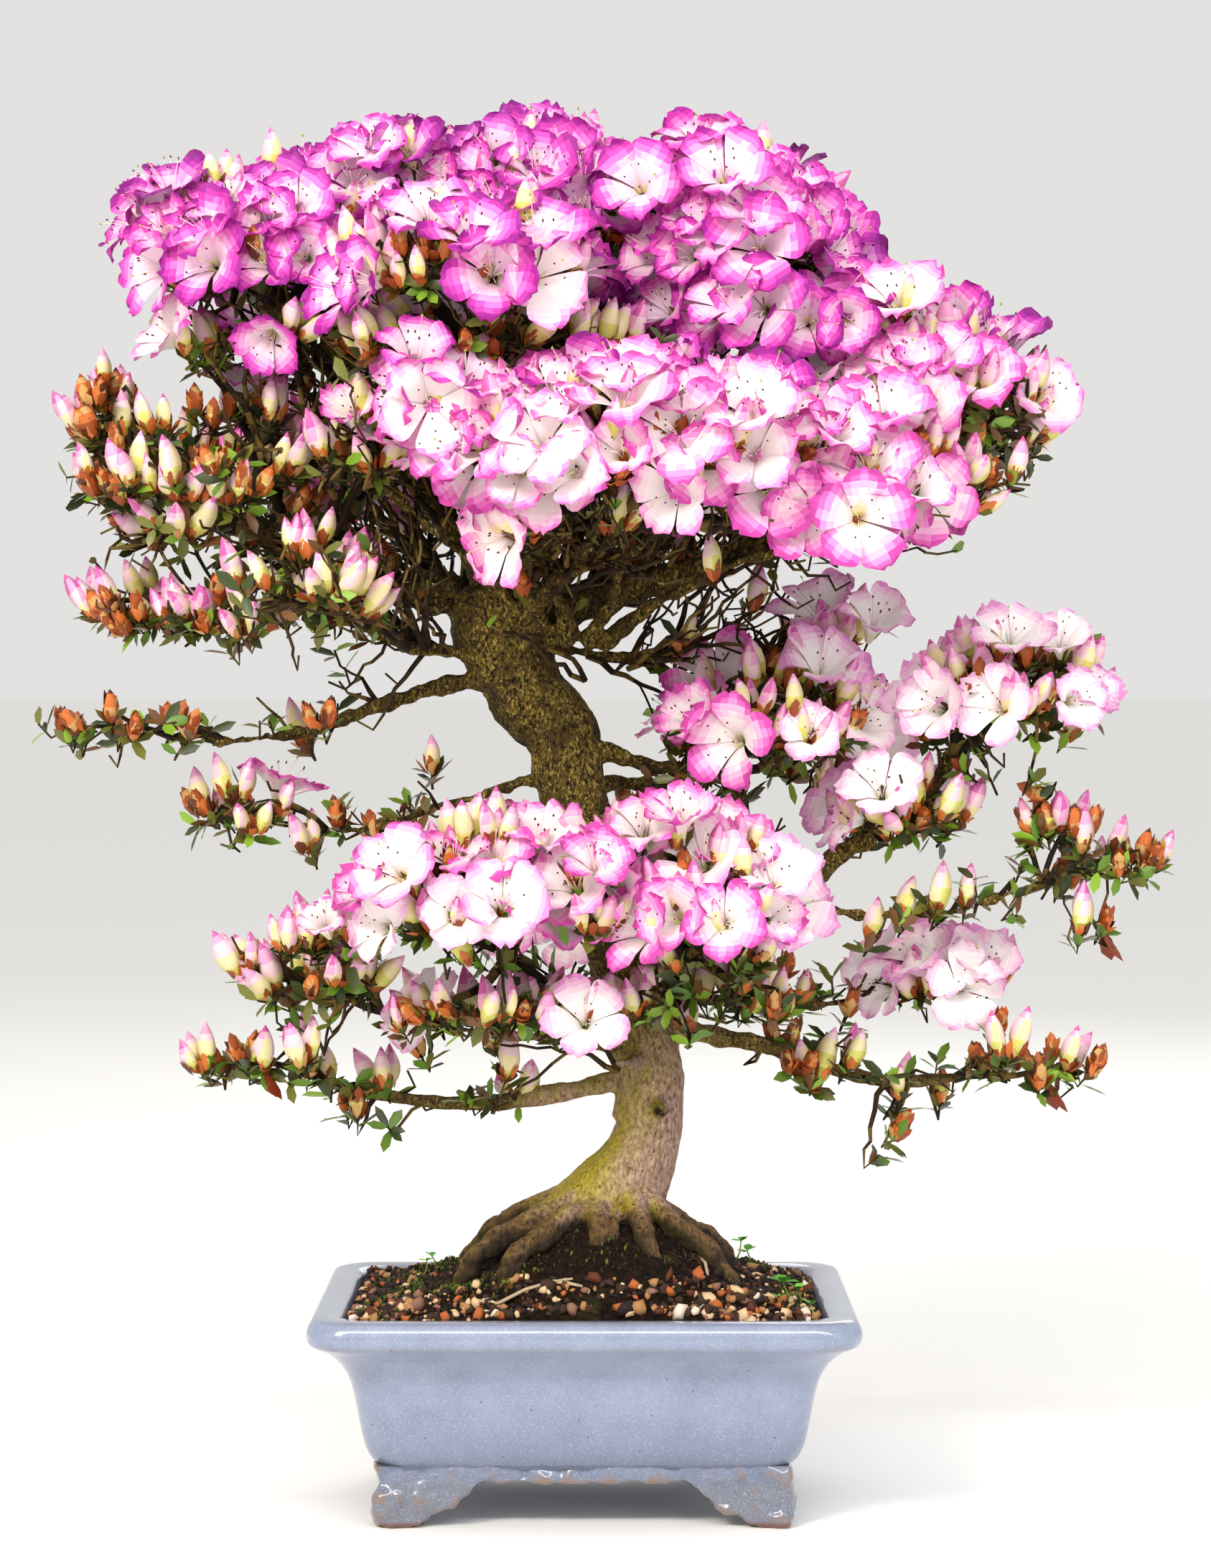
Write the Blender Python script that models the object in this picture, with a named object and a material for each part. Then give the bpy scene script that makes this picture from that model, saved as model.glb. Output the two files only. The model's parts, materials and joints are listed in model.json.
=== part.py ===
"""An azalea bonsai in bloom, in its glazed pot. Metres, +Z up, the front towards -Y."""

import math
import random

import bmesh
import bpy
from mathutils import Matrix, Vector
from mathutils.bvhtree import BVHTree
from mathutils.kdtree import KDTree

MM = 0.001
CLEARANCE = 0.3 * MM  # between neighbours that touch on the real tree
NEAREST = 0.25 * MM  # no twig or leaf comes nearer than this to a limb
WELD = 0.01 * MM  # corners that a union leaves this close together are made one

# The pot
POT_WIDTH = 280 * MM
POT_DEPTH = 212 * MM
POT_HEIGHT = 110 * MM
LIP_HEIGHT = 15 * MM
RIM_WIDTH = 19 * MM
FLOOR_HEIGHT = 29 * MM  # underside of the body, above the table
FLOOR_THICKNESS = 8 * MM
FLARE = 17 * MM  # how far the lip stands out over the body's wall
WALL = 8 * MM
WALL_FOOT = [(18, 0), (11, 4), (7.5, 13)]  # the wall's round foot in mm: inside the body, above it
WALL_CURL = 2.6  # the wall stays upright low down and turns out near the lip
UNDER_LIP = 5 * MM  # how far the wall's top lies inside the lip
LIP_SECTION = [(1, 2.5), (0, 6), (0.8, 12), (4, 15)]  # mm: inside the lip's edge, above its underside
CORNER = 22 * MM
LEAST_CORNER = 9 * MM
FOOT_THICKNESS = 13 * MM
FOOT_SET_BACK = 33.5 * MM
FOOT_LENGTH = 50 * MM
SIDE_FOOT_SHARE = 0.72  # a foot's arm along the pot's side, as a share of its front arm
SOLE_LENGTH = 13  # mm
SCALLOPS = [(13, 0), (20, 9), (34, 13)]  # mm: where each scallop of a foot's inner edge starts
FOOT_TOP = 22.5  # mm, where the last scallop ends
SCALLOP_BULGE = 2.0  # mm
APRON_HEIGHT = 5.5 * MM
APRON_CORNER = 10 * MM
SUNK = 2 * MM  # how far the feet and apron go up into the pot's floor

# The soil
SOIL_EDGE = 103 * MM  # height where it meets the pot's wall
GROUND = 122.5 * MM  # height of the flat cut under the trunk
ROOT_MOUND = 8 * MM  # how far the soil's flat middle reaches past the trunk's foot
MOUND_STEPS = (0.3, 0.6, 0.85, 1.0)  # from the pot's wall to the trunk's foot
MOUND_CURVE = 0.8

# The trunk: height, centre left to right, centre front to back, half width, half depth
TRUNK_STATIONS = [
    (122.5, 10, 0, 68, 56),
    (134, 10, 0, 63, 52),
    (143.5, 9, 0, 53, 44),
    (151, 9, 0, 41, 35),
    (158, 8.5, 0, 31.5, 27),
    (169, 14, 0, 28, 24),
    (182, 24, 1, 23, 21),
    (196, 31, 2, 19, 18.5),
    (222, 34, 3, 17.5, 17),
    (258, 27, 3, 18, 17.5),
    (300, 17, 0, 18.5, 18),
    (340, 2, -2, 18, 17.5),
    (372, -7, -2, 17, 16.5),
    (398, -11, 0, 18, 17),
    (416, -24, 0, 19, 18),
    (432, -37, 0, 22, 20),
    (448, -43, 0, 27, 24),
    (464, -42, 0, 29, 26),
    (476, -41, 0, 24, 22),
    (482, -40, 0, 12, 11),
]
TRUNK_SIDES = 18
ROOT_LOBES = 7
ROOT_DEPTH = 0.1  # how far the hollows between roots reach in, as a share of the radius
ROOT_RISE = 45  # mm above the ground where those hollows have died out
ROOT_TURN = 0.6
LEVEL_RINGS = 5  # the rings at the foot and at the fork that lie level
RING_LEAN = 0.75  # how far the others turn square to the leaning trunk

# Each limb with the mass on its tip: where it leaves the trunk (height), its thickness there,
# how steeply it leaves, the mass's centre and half sizes, its sprays and the share in flower.
LIMBS = {
    "low_left_tip": (224, 14, -0.25, (-168, -6, 236), (46, 32, 20), 3, 0.0),
    "low_left": (232, 9, 0.4, (-138, -50, 284), (56, 50, 42), 7, 0.3),
    "low_front_left": (252, 10, 0.5, (-62, -82, 318), (62, 52, 44), 7, 0.85),
    "low_front_right": (264, 10, 0.4, (62, -82, 318), (62, 52, 44), 7, 1.0),
    "low_back": (272, 12, 0.3, (20, 104, 305), (98, 56, 42), 7, 0.7),
    "low_right_tip": (246, 13, 0.1, (231, -9, 233), (47, 35, 28), 4, 0.2),
    "low_right": (258, 7, 0.3, (186, 26, 276), (46, 38, 26), 4, 1.0),
    "right_outer": (300, 18, 0.1, (222, -28, 424), (60, 56, 46), 7, 0.4),
    "right_inner": (390, 16, 0.5, (98, -14, 408), (66, 64, 48), 7, 0.6),
    "right_back": (372, 12, 0.3, (105, 96, 400), (75, 54, 42), 6, 0.5),
    "mid_left": (377, 7, 0.15, (-172, -14, 362), (44, 34, 34), 4, 0.3),
    "far_left": (430, 12, 0.1, (-230, -32, 408), (58, 30, 26), 4, 0.0),
    "left_low": (438, 10, 0.3, (-140, -74, 480), (52, 50, 42), 5, 0.2),
    "left": (458, 20, 0.6, (-195, -15, 532), (84, 90, 66), 12, 0.15),
    "top_left": (470, 18, 1.6, (-162, -12, 648), (82, 84, 50), 9, 0.85),
    "top": (474, 20, 3.0, (-30, 12, 676), (84, 80, 54), 11, 0.9),
    "top_front": (470, 16, 1.6, (-58, -104, 634), (78, 62, 46), 9, 0.65),
    "top_right": (470, 18, 1.8, (82, -14, 652), (66, 82, 48), 8, 0.95),
    "top_back": (470, 16, 1.6, (-30, 116, 645), (100, 62, 50), 9, 0.85),
    "front": (456, 16, 0.5, (27, -118, 546), (122, 68, 50), 12, 0.95),
    "right": (454, 22, 0.35, (180, -20, 570), (84, 90, 58), 11, 0.85),
    "under_right": (446, 7, 0.1, (130, 24, 456), (38, 36, 26), 3, 1.0),
    "back_left": (456, 16, 0.6, (-118, 122, 548), (96, 68, 52), 8, 0.5),
    "back_right": (456, 16, 0.6, (92, 126, 556), (100, 68, 52), 8, 0.9),
    "far_right": (318, 5.5, -0.4, (268, -30, 338), (46, 30, 28), 4, 0.0),
}
BORNE_BY_BOUGH = {"far_right": "right_outer"}  # every other bough leaves the trunk
STEM_SHARE = 0.4  # a bough's tip thickness as a share of its base
LEAST_TIP = 1.7 * MM
THICK_BOUGH = 8 * MM  # a thicker one is rounder
ENTRY = 0.8  # where a bough ends in its mass: 1 on the dome
ENTRY_DROP = 0.35  # it comes in from below its mass's middle
LEAVING, ARRIVING = 0.4, 0.3  # lengths of its curve's handles, as shares of its own
BOUGH_STEP = 40 * MM
BOUGH_SWAY = 0.018

# The sprays, larger than life because one stands for several
TWIG_RADIUS = 1.1 * MM
PIPE_POWER = 0.42
SUNK_FOOT = 0.55  # a side twig's foot as a share of the twig that it is sunk in
BLOSSOM_WIDTH = 60 * MM
BLOSSOM_DEPTH = 26 * MM
PETAL_EDGE = (0.5, 0.95)  # a petal's tip: out as a share of the width, up as one of the depth
NOTCH_EDGE = (0.31, 0.72)  # the notch between two petals
BUD_LENGTH = 27 * MM
BUD_WIDTH = 14 * MM
SHOOT_LENGTH = 10 * MM
THROAT_SHARE = 0.4  # how deep a blossom's throat lies, from its foot
LEAF_LENGTH = 25 * MM
LEAF_WIDTH = 9.5 * MM
LEAF_THICKNESS = 2 * MM
LEAF_SUNK = 0.6 * MM  # how far a leaf's root passes the middle of its shoot
LEAF_WIDEST = 0.55
LEAF_SEAT = 3 * MM  # up its shoot
SPACE_MARGIN = 17 * MM  # petals may stand this far outside the mass's own dome
DOME_LOW = -0.35  # the lowest sprays, as a share of the half height
SITE_DEPTHS = (0.86, 1.0)  # how far out in its mass a spray ends: 1 on the dome
SITE_CLEAR = 0.95  # a site this deep in another mass is left to that mass
LIGHT_LIFT = 0.45  # sprays turn up to the light
AIM_JOLT = 0.25
FORK_SHARE = 0.42  # how far towards its group's middle a twig goes before it forks
FORK_SAG = 0.06
GOLDEN_ANGLE = math.pi * (3 - math.sqrt(5))
TRIES = 12  # a mass whose union fails is turned and joined again, later with fewer leaves

MATERIALS = {
    "pot_glaze": ((0.32, 0.36, 0.52), 0.15),
    "soil": ((0.045, 0.028, 0.016), 0.9),
    "bark": ((0.12, 0.095, 0.045), 0.8),
    "blossom": ((0.82, 0.42, 0.72), 0.55),
    "buds": ((0.62, 0.48, 0.28), 0.55),
}


def clear_scene():
    for thing in list(bpy.data.objects):
        bpy.data.objects.remove(thing)


def new_collection(name):
    made = bpy.data.collections.new(name)
    bpy.context.scene.collection.children.link(made)
    return made


def new_material(name):
    colour, roughness = MATERIALS[name]
    made = bpy.data.materials.new(name)
    made.use_nodes = True
    shader = made.node_tree.nodes["Principled BSDF"]
    shader.inputs["Base Color"].default_value = (*colour, 1)
    shader.inputs["Roughness"].default_value = roughness
    shader.inputs["Metallic"].default_value = 0
    return made


def object_from(bm, name, collection, material=None):
    bmesh.ops.recalc_face_normals(bm, faces=bm.faces)
    mesh = bpy.data.meshes.new(name)
    bm.to_mesh(mesh)
    bm.free()
    made = bpy.data.objects.new(name, mesh)
    collection.objects.link(made)
    if material:
        mesh.materials.append(material)
    return made


def apply_boolean(target, cutter, operation, solver="EXACT"):
    """Cuts or joins by one object, or by every object of a collection, and applies it."""
    step = target.modifiers.new("boolean", "BOOLEAN")
    step.operation = operation
    step.solver = solver
    if isinstance(cutter, bpy.types.Collection):
        step.operand_type = "COLLECTION"
        step.collection = cutter
    else:
        step.object = cutter
    bpy.context.view_layer.update()
    shaped = target.evaluated_get(bpy.context.evaluated_depsgraph_get())
    mesh = bpy.data.meshes.new_from_object(shaped)
    target.modifiers.clear()
    old = target.data
    target.data = mesh
    bpy.data.meshes.remove(old)


def face_outward(thing):
    bm = bmesh.new()
    bm.from_mesh(thing.data)
    bmesh.ops.recalc_face_normals(bm, faces=bm.faces)
    bm.to_mesh(thing.data)
    bm.free()


def mesh_of_curve(curve, name, collection, material=None):
    """A curve's shape as a mesh, its caps welded on, so that it can be cut or joined."""
    shaped = bpy.data.objects.new(name, curve)
    collection.objects.link(shaped)
    bpy.context.view_layer.update()
    seen = shaped.evaluated_get(bpy.context.evaluated_depsgraph_get())
    mesh = bpy.data.meshes.new_from_object(seen)
    bpy.data.objects.remove(shaped)
    bm = bmesh.new()
    bm.from_mesh(mesh)
    bmesh.ops.remove_doubles(bm, verts=bm.verts, dist=WELD)
    bpy.data.meshes.remove(mesh)
    return object_from(bm, name, collection, material)


def rounded_outline(half_x, half_y, corner, height, steps=3):
    """A rectangle with round corners, as points at one height."""
    points = []
    for quarter, (side_x, side_y) in enumerate([(1, 1), (-1, 1), (-1, -1), (1, -1)]):
        middle = Vector((side_x * (half_x - corner), side_y * (half_y - corner), height))
        for step in range(steps + 1):
            angle = math.pi / 2 * (quarter + step / steps)
            points.append(middle + corner * Vector((math.cos(angle), math.sin(angle), 0)))
    return points


def skin(rings, name, collection, material=None):
    """A closed body through rings of points, the same number in each."""
    bm = bmesh.new()
    loops = [[bm.verts.new(point) for point in ring] for ring in rings]
    for below, above in zip(loops, loops[1:]):
        for i in range(len(below)):
            bm.faces.new((below[i - 1], below[i], above[i], above[i - 1]))
    for end in (loops[0], loops[-1]):
        bm.faces.new(end)
    return object_from(bm, name, collection, material)


def wall_profile():
    """The pot's outside from its underside up: how far inside the lip, and the height."""
    under_lip = POT_HEIGHT - LIP_HEIGHT
    profile = [(FLARE + inset * MM, FLOOR_HEIGHT + up * MM) for inset, up in WALL_FOOT]
    low_inset, low = profile[-1]
    for share in (0.4, 0.7, 0.88, 1.0):
        curl = share**WALL_CURL
        inset = low_inset + (UNDER_LIP - low_inset) * curl
        profile.append((inset, low + share * (under_lip - low)))
    return profile + [(inset * MM, under_lip + up * MM) for inset, up in LIP_SECTION]


def pot_outline(inset, height):
    corner = max(CORNER - 0.35 * inset, LEAST_CORNER)
    return rounded_outline(POT_WIDTH / 2 - inset, POT_DEPTH / 2 - inset, corner, height)


def inner_wall(gap=0.0):
    """The inside of the pot from its floor up, or the soil's side, a gap clear of it."""
    low = FLOOR_HEIGHT + FLOOR_THICKNESS + gap
    middle = POT_HEIGHT - 26 * MM
    return [
        (FLARE + 18 * MM + WALL + gap, low),
        (FLARE + 6 * MM + WALL + gap, low + 7 * MM),
        (RIM_WIDTH + 5 * MM + gap, middle),
        (RIM_WIDTH + gap, SOIL_EDGE),
    ]


def foot_arm(length, face, name, collection):
    """One arm of a corner foot: a scalloped plate that rises from its sole to the apron."""
    outline = [(0, 0), (SOLE_LENGTH, 0)]
    ends = SCALLOPS[1:] + [(length / MM, FOOT_TOP)]
    for (start_x, start_z), (end_x, end_z) in zip(SCALLOPS, ends):
        for step in range(1, 4):
            share = step / 3
            bulge = SCALLOP_BULGE * math.sin(math.pi * share)
            across = start_x + (end_x - start_x) * share + 0.7 * bulge
            outline.append((across, start_z + (end_z - start_z) * share - bulge))
    top = (FLOOR_HEIGHT + SUNK) / MM
    outline += [(length / MM + 6, top), (0, top)]
    curve = bpy.data.curves.new(name, "CURVE")
    curve.dimensions = "2D"
    curve.fill_mode = "BOTH"
    curve.extrude = FOOT_THICKNESS / 2
    spline = curve.splines.new("POLY")
    spline.points.add(len(outline) - 1)
    for spot, (x, z) in zip(spline.points, outline):
        spot.co = (x * MM, z * MM, 0, 1)
    spline.use_cyclic_u = True
    arm = mesh_of_curve(curve, name, collection)
    upright = Matrix.Translation((0, FOOT_THICKNESS / 2, 0)) @ Matrix.Rotation(math.pi / 2, 4, "X")
    arm.data.transform(face @ upright)
    face_outward(arm)


def make_pot(collection, material):
    outer = [pot_outline(inset, height) for inset, height in wall_profile()]
    rim = [pot_outline(RIM_WIDTH - 2 * MM, POT_HEIGHT)]
    inner = [pot_outline(inset, height) for inset, height in reversed(inner_wall())]
    pot = skin(outer + rim + inner, "pot", collection, material)
    feet = new_collection("pot_feet")
    half_x = POT_WIDTH / 2 - FOOT_SET_BACK
    half_y = POT_DEPTH / 2 - FOOT_SET_BACK
    for side_x in (-1, 1):
        for side_y in (-1, 1):
            corner = Matrix.Translation((side_x * half_x, side_y * half_y, 0))
            along_x = corner @ Matrix.Diagonal((-side_x, -side_y, 1, 1))
            swap = Matrix(((0, 1, 0, 0), (1, 0, 0, 0), (0, 0, 1, 0), (0, 0, 0, 1)))
            foot_arm(FOOT_LENGTH, along_x, "foot_front", feet)
            foot_arm(FOOT_LENGTH * SIDE_FOOT_SHARE, along_x @ swap, "foot_side", feet)
    heights = (FLOOR_HEIGHT - APRON_HEIGHT, FLOOR_HEIGHT + SUNK)
    apron = [rounded_outline(half_x, half_y, APRON_CORNER, height) for height in heights]
    skin(apron, "apron", feet)
    join(pot, feet, "EXACT")
    return pot


def join(target, collection, solver="MANIFOLD"):
    """One union of a collection into the target; what was joined in is then removed."""
    apply_boolean(target, collection, "UNION", solver)
    for thing in list(collection.objects):
        bpy.data.objects.remove(thing)
    bpy.data.collections.remove(collection)
    return keep_one_body(target)


def shells_of(bm):
    """The separate skins of a mesh, each with six times the volume that it holds."""
    unseen = set(bm.faces)
    shells = []
    while unseen:
        waiting = [unseen.pop()]
        shell = []
        while waiting:
            face = waiting.pop()
            shell.append(face)
            beside = {other for edge in face.edges for other in edge.link_faces} & unseen
            unseen -= beside
            waiting += beside
        volume = 0
        for face in shell:
            first, *others = [vert.co for vert in face.verts]
            volume += sum(first.dot(a.cross(b)) for a, b in zip(others, others[1:]))
        shells.append((volume, shell))
    return sorted(shells, key=lambda pair: pair[0])


def drop_scraps(bm):
    """Loose scraps and the walls of sealed hollows go; the outer skin stays."""
    for _, shell in shells_of(bm)[:-1]:
        bmesh.ops.delete(bm, geom=shell, context="FACES")
    loose = [vert for vert in bm.verts if not vert.link_faces]
    bmesh.ops.delete(bm, geom=loose, context="VERTS")


def touches_itself(bm):
    """Whether two corners of a mesh lie in one place."""
    places = KDTree(len(bm.verts))
    for index, vert in enumerate(bm.verts):
        places.insert(vert.co, index)
    places.balance()
    return any(places.find_n(vert.co, 2)[1][2] < WELD / 5 for vert in bm.verts)


def keep_one_body(target):
    """Leaves the outer skin in triangles; says whether it nowhere touches itself."""
    bm = bmesh.new()
    bm.from_mesh(target.data)
    drop_scraps(bm)
    bmesh.ops.triangulate(bm, faces=bm.faces)
    bmesh.ops.dissolve_degenerate(bm, dist=WELD, edges=bm.edges)
    bmesh.ops.triangulate(bm, faces=bm.faces)
    drop_scraps(bm)
    whole = all(len(edge.link_faces) == 2 for edge in bm.edges) and not touches_itself(bm)
    bm.to_mesh(target.data)
    bm.free()
    return whole


def make_soil(collection, material):
    sides = [pot_outline(inset, height) for inset, height in inner_wall(CLEARANCE)]
    _, x, y, half_x, half_y = TRUNK_STATIONS[0]
    centre = Vector((x, y, 0)) * MM
    oval_x, oval_y = half_x * MM + ROOT_MOUND, half_y * MM + ROOT_MOUND
    top = []
    for share in MOUND_STEPS:
        height = SOIL_EDGE + (GROUND - CLEARANCE - SOIL_EDGE) * share**MOUND_CURVE
        ring = []
        for point in sides[-1]:
            angle = math.atan2((point.y - centre.y) / oval_y, (point.x - centre.x) / oval_x)
            oval = centre + Vector((oval_x * math.cos(angle), oval_y * math.sin(angle), 0))
            across = point.lerp(oval, share)
            ring.append(Vector((across.x, across.y, height)))
        top.append(ring)
    return skin(sides + top, "soil", collection, material)


def trunk_centre(height):
    """Centre and half width of the trunk at a height in millimetres."""
    for low, high in zip(TRUNK_STATIONS, TRUNK_STATIONS[1:]):
        if low[0] <= height <= high[0]:
            share = (height - low[0]) / (high[0] - low[0])
            mixed = [a + (b - a) * share for a, b in zip(low, high)]
            return Vector((mixed[1], mixed[2], mixed[0])) * MM, mixed[3] * MM
    raise ValueError(height)


def make_trunk(name, collection, material=None, grow=0.0):
    """The trunk from its flat cut to its fork; grow makes the cutter that limbs are cut by."""
    rings = []
    last = len(TRUNK_STATIONS) - 1
    for index, (height, x, y, half_x, half_y) in enumerate(TRUNK_STATIONS):
        before = TRUNK_STATIONS[max(index - 1, 0)]
        after = TRUNK_STATIONS[min(index + 1, last)]
        slope = (after[1] - before[1]) / (after[0] - before[0])
        leaning = LEVEL_RINGS <= index <= last - LEVEL_RINGS
        lean = RING_LEAN * slope if leaning else 0.0
        hollow = ROOT_DEPTH * max(0.0, 1 - (height - GROUND / MM) / ROOT_RISE)
        lift = grow if index == last else -grow if index == 0 else 0.0
        ring = []
        for side in range(TRUNK_SIDES):
            angle = 2 * math.pi * side / TRUNK_SIDES
            lobe = 1 - hollow * (0.5 + 0.5 * math.cos(ROOT_LOBES * angle + ROOT_TURN))
            out_x = (half_x * MM * lobe + grow) * math.cos(angle)
            out_y = (half_y * MM * lobe + grow) * math.sin(angle)
            ring.append(Vector((x * MM + out_x, y * MM + out_y, height * MM - lean * out_x + lift)))
        rings.append(ring)
    return skin(rings, name, collection, material)


def level(point, limb):
    """How far out a point is in a limb's mass: 1 on its dome."""
    centre, half = limb[3], limb[4]
    return math.sqrt(sum(((point[i] / MM - centre[i]) / half[i]) ** 2 for i in range(3)))


def bough_path(name):
    """Points from inside the trunk to where the limb enters its mass."""
    leaves_at, thickness, rise, centre, half, _, _ = LIMBS[name]
    dice = random.Random(name)
    middle = Vector(centre) * MM
    if name in BORNE_BY_BOUGH:
        carrier = bough_path(BORNE_BY_BOUGH[name])
        start = min(carrier, key=lambda p: abs(p.z - leaves_at * MM))
    else:
        start = trunk_centre(leaves_at)[0]
    inward = (start - middle).normalized()
    inward = (inward - Vector((0, 0, ENTRY_DROP))).normalized()
    reach = 1 / math.sqrt(sum((inward[i] / half[i]) ** 2 for i in range(3)))
    entry = middle + inward * reach * ENTRY * MM
    away = Vector((middle.x - start.x, middle.y - start.y, 0)).normalized()
    leaving = (away + Vector((0, 0, rise))).normalized()
    arriving = (middle - entry).normalized()
    length = (entry - start).length
    rising = start + leaving * length * LEAVING
    handles = [start, rising, entry - arriving * length * ARRIVING, entry]
    points = []
    count = 4 + int(length / BOUGH_STEP)
    for step in range(count):
        share = step / (count - 1)
        rest = 1 - share
        weights = (rest**3, 3 * rest**2 * share, 3 * rest * share**2, share**3)
        point = sum((w * h for w, h in zip(weights, handles)), Vector())
        if 1 < step < count - 1:
            point += BOUGH_SWAY * length * Vector([dice.uniform(-1, 1) for _ in range(3)])
        points.append(point)
    return points


def bough_radii(name, count):
    thick = LIMBS[name][1] * MM / 2
    thin = max(thick * STEM_SHARE, LEAST_TIP)
    return [thick + (thin - thick) * (i / (count - 1)) ** 0.8 for i in range(count)]


def make_bough(name, collection, material=None, grow=0.0):
    """A tapering limb: a curve with a bevel, made a mesh so that it can be cut."""
    points = bough_path(name)
    radii = bough_radii(name, len(points))
    curve = bpy.data.curves.new(name, "CURVE")
    curve.dimensions = "3D"
    curve.bevel_depth = 1
    curve.bevel_resolution = 2 if radii[0] > THICK_BOUGH else 1
    curve.use_fill_caps = True
    spline = curve.splines.new("POLY")
    spline.points.add(len(points) - 1)
    for spot, point, radius in zip(spline.points, points, radii):
        spot.co = (*point, 1)
        spot.radius = radius + grow
    return mesh_of_curve(curve, name, collection, material)


def tree_of(obj):
    bm = bmesh.new()
    bm.from_mesh(obj.data)
    tree = BVHTree.FromBMesh(bm)
    bm.free()
    return tree


def make_boughs(collection, cutters, material):
    """Every limb, each cut 0.3 mm clear of the trunk and of the limbs made before it."""
    trunk_cutter = make_trunk("trunk_cutter", cutters, grow=CLEARANCE)
    done = []
    for name in LIMBS:
        bough = make_bough(name, collection, material)
        bough.name = "bough_" + name
        apply_boolean(bough, trunk_cutter, "DIFFERENCE")
        keep_one_body(bough)
        for earlier in done:
            if tree_of(earlier).overlap(tree_of(bough)):
                apply_boolean(bough, earlier, "DIFFERENCE")
                keep_one_body(bough)
        done.append(make_bough(name, cutters, grow=CLEARANCE * 1.3))


class Piece:
    """A twig, leaf, bud or blossom before it is fused: its corners and faces."""

    def __init__(self, corners, faces):
        self.corners = corners
        self.faces = faces

    def tree(self):
        return BVHTree.FromPolygons(self.corners, self.faces)


class Node:
    """A place where twigs part, or where a shoot ends."""

    def __init__(self, place, radius):
        self.place = place
        self.radius = radius
        self.children = []
        self.in_flower = False


def across(direction):
    """Two directions square to one another and to the given one."""
    side = direction.cross(Vector((0, 0, 1)))
    if side.length < 0.01:
        side = direction.cross(Vector((1, 0, 0)))
    side.normalize()
    return side, direction.cross(side).normalized()


def bridge(lower, upper):
    """Triangles between two closed rings of corners that may differ in number."""
    faces = []
    i = j = 0
    while i < len(lower) or j < len(upper):
        low, high = lower[i % len(lower)], upper[j % len(upper)]
        if (i + 1) * len(upper) <= (j + 1) * len(lower):
            i += 1
            faces.append((low, lower[i % len(lower)], high))
        else:
            j += 1
            faces.append((low, upper[j % len(upper)], high))
    return faces


def petal_rim(foot, axis, side, turn, even=False):
    """Ten points round a blossom's edge: petal tips with the notches between them."""
    other = axis.cross(side)
    points = []
    for i in range(10):
        angle = turn + math.pi * i / 5
        reach, lift = PETAL_EDGE if even or i % 2 == 0 else NOTCH_EDGE
        out = side * math.cos(angle) + other * math.sin(angle)
        points.append(foot + axis * BLOSSOM_DEPTH * lift + out * BLOSSOM_WIDTH * reach)
    return points


def twig(places, radii, turn=0.0, in_flower=False):
    """A three-sided tube through the given places; in flower, it opens into five petals."""
    corners = []
    for i, (place, radius) in enumerate(zip(places, radii)):
        before = places[max(i - 1, 0)]
        after = places[min(i + 1, len(places) - 1)]
        along = (after - before).normalized()
        if i == 0:
            side, _ = across(along)
        side = (side - along * side.dot(along)).normalized()
        other = along.cross(side)
        for corner in range(3):
            angle = turn + 2 * math.pi * corner / 3
            out = side * math.cos(angle) + other * math.sin(angle)
            corners.append(place + radius * out)
    last = 3 * (len(places) - 1)
    faces = [(2, 1, 0)]
    for ring in range(0, last, 3):
        for i in range(3):
            here, there = ring + i, ring + (i + 1) % 3
            faces += [(here, there, there + 3), (here, there + 3, here + 3)]
    end = [last, last + 1, last + 2]
    if not in_flower:
        return Piece(corners, faces + [tuple(end)])
    rim = list(range(last + 3, last + 13))
    corners += petal_rim(places[-1], along, side, turn)
    throat = len(corners)
    corners.append(places[-1] + along * BLOSSOM_DEPTH * THROAT_SHARE)
    faces += bridge(end, rim)
    faces += [(throat, here, there) for here, there in zip(rim, rim[1:] + rim[:1])]
    return Piece(corners, faces)


def leaf_shape(root, tip, facing):
    """A leaf of six faces: root, tip, two edges and the midrib under it."""
    along = tip - root
    side = along.cross(facing).normalized()
    up = along.cross(side).normalized()
    middle = root + along * LEAF_WIDEST
    edge = side * LEAF_WIDTH / 2
    corners = [root, tip, middle + edge, middle + up * LEAF_THICKNESS, middle - edge]
    faces = []
    for here, there in ((2, 3), (3, 4), (4, 2)):
        faces += [(0, there, here), (1, here, there)]
    return Piece(corners, faces)


def halves(number):
    """The van der Corput fraction of a whole number: any first few are spread evenly."""
    fraction, step = 0.0, 0.5
    while number:
        fraction += step * (number % 2)
        number //= 2
        step /= 2
    return fraction


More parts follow.
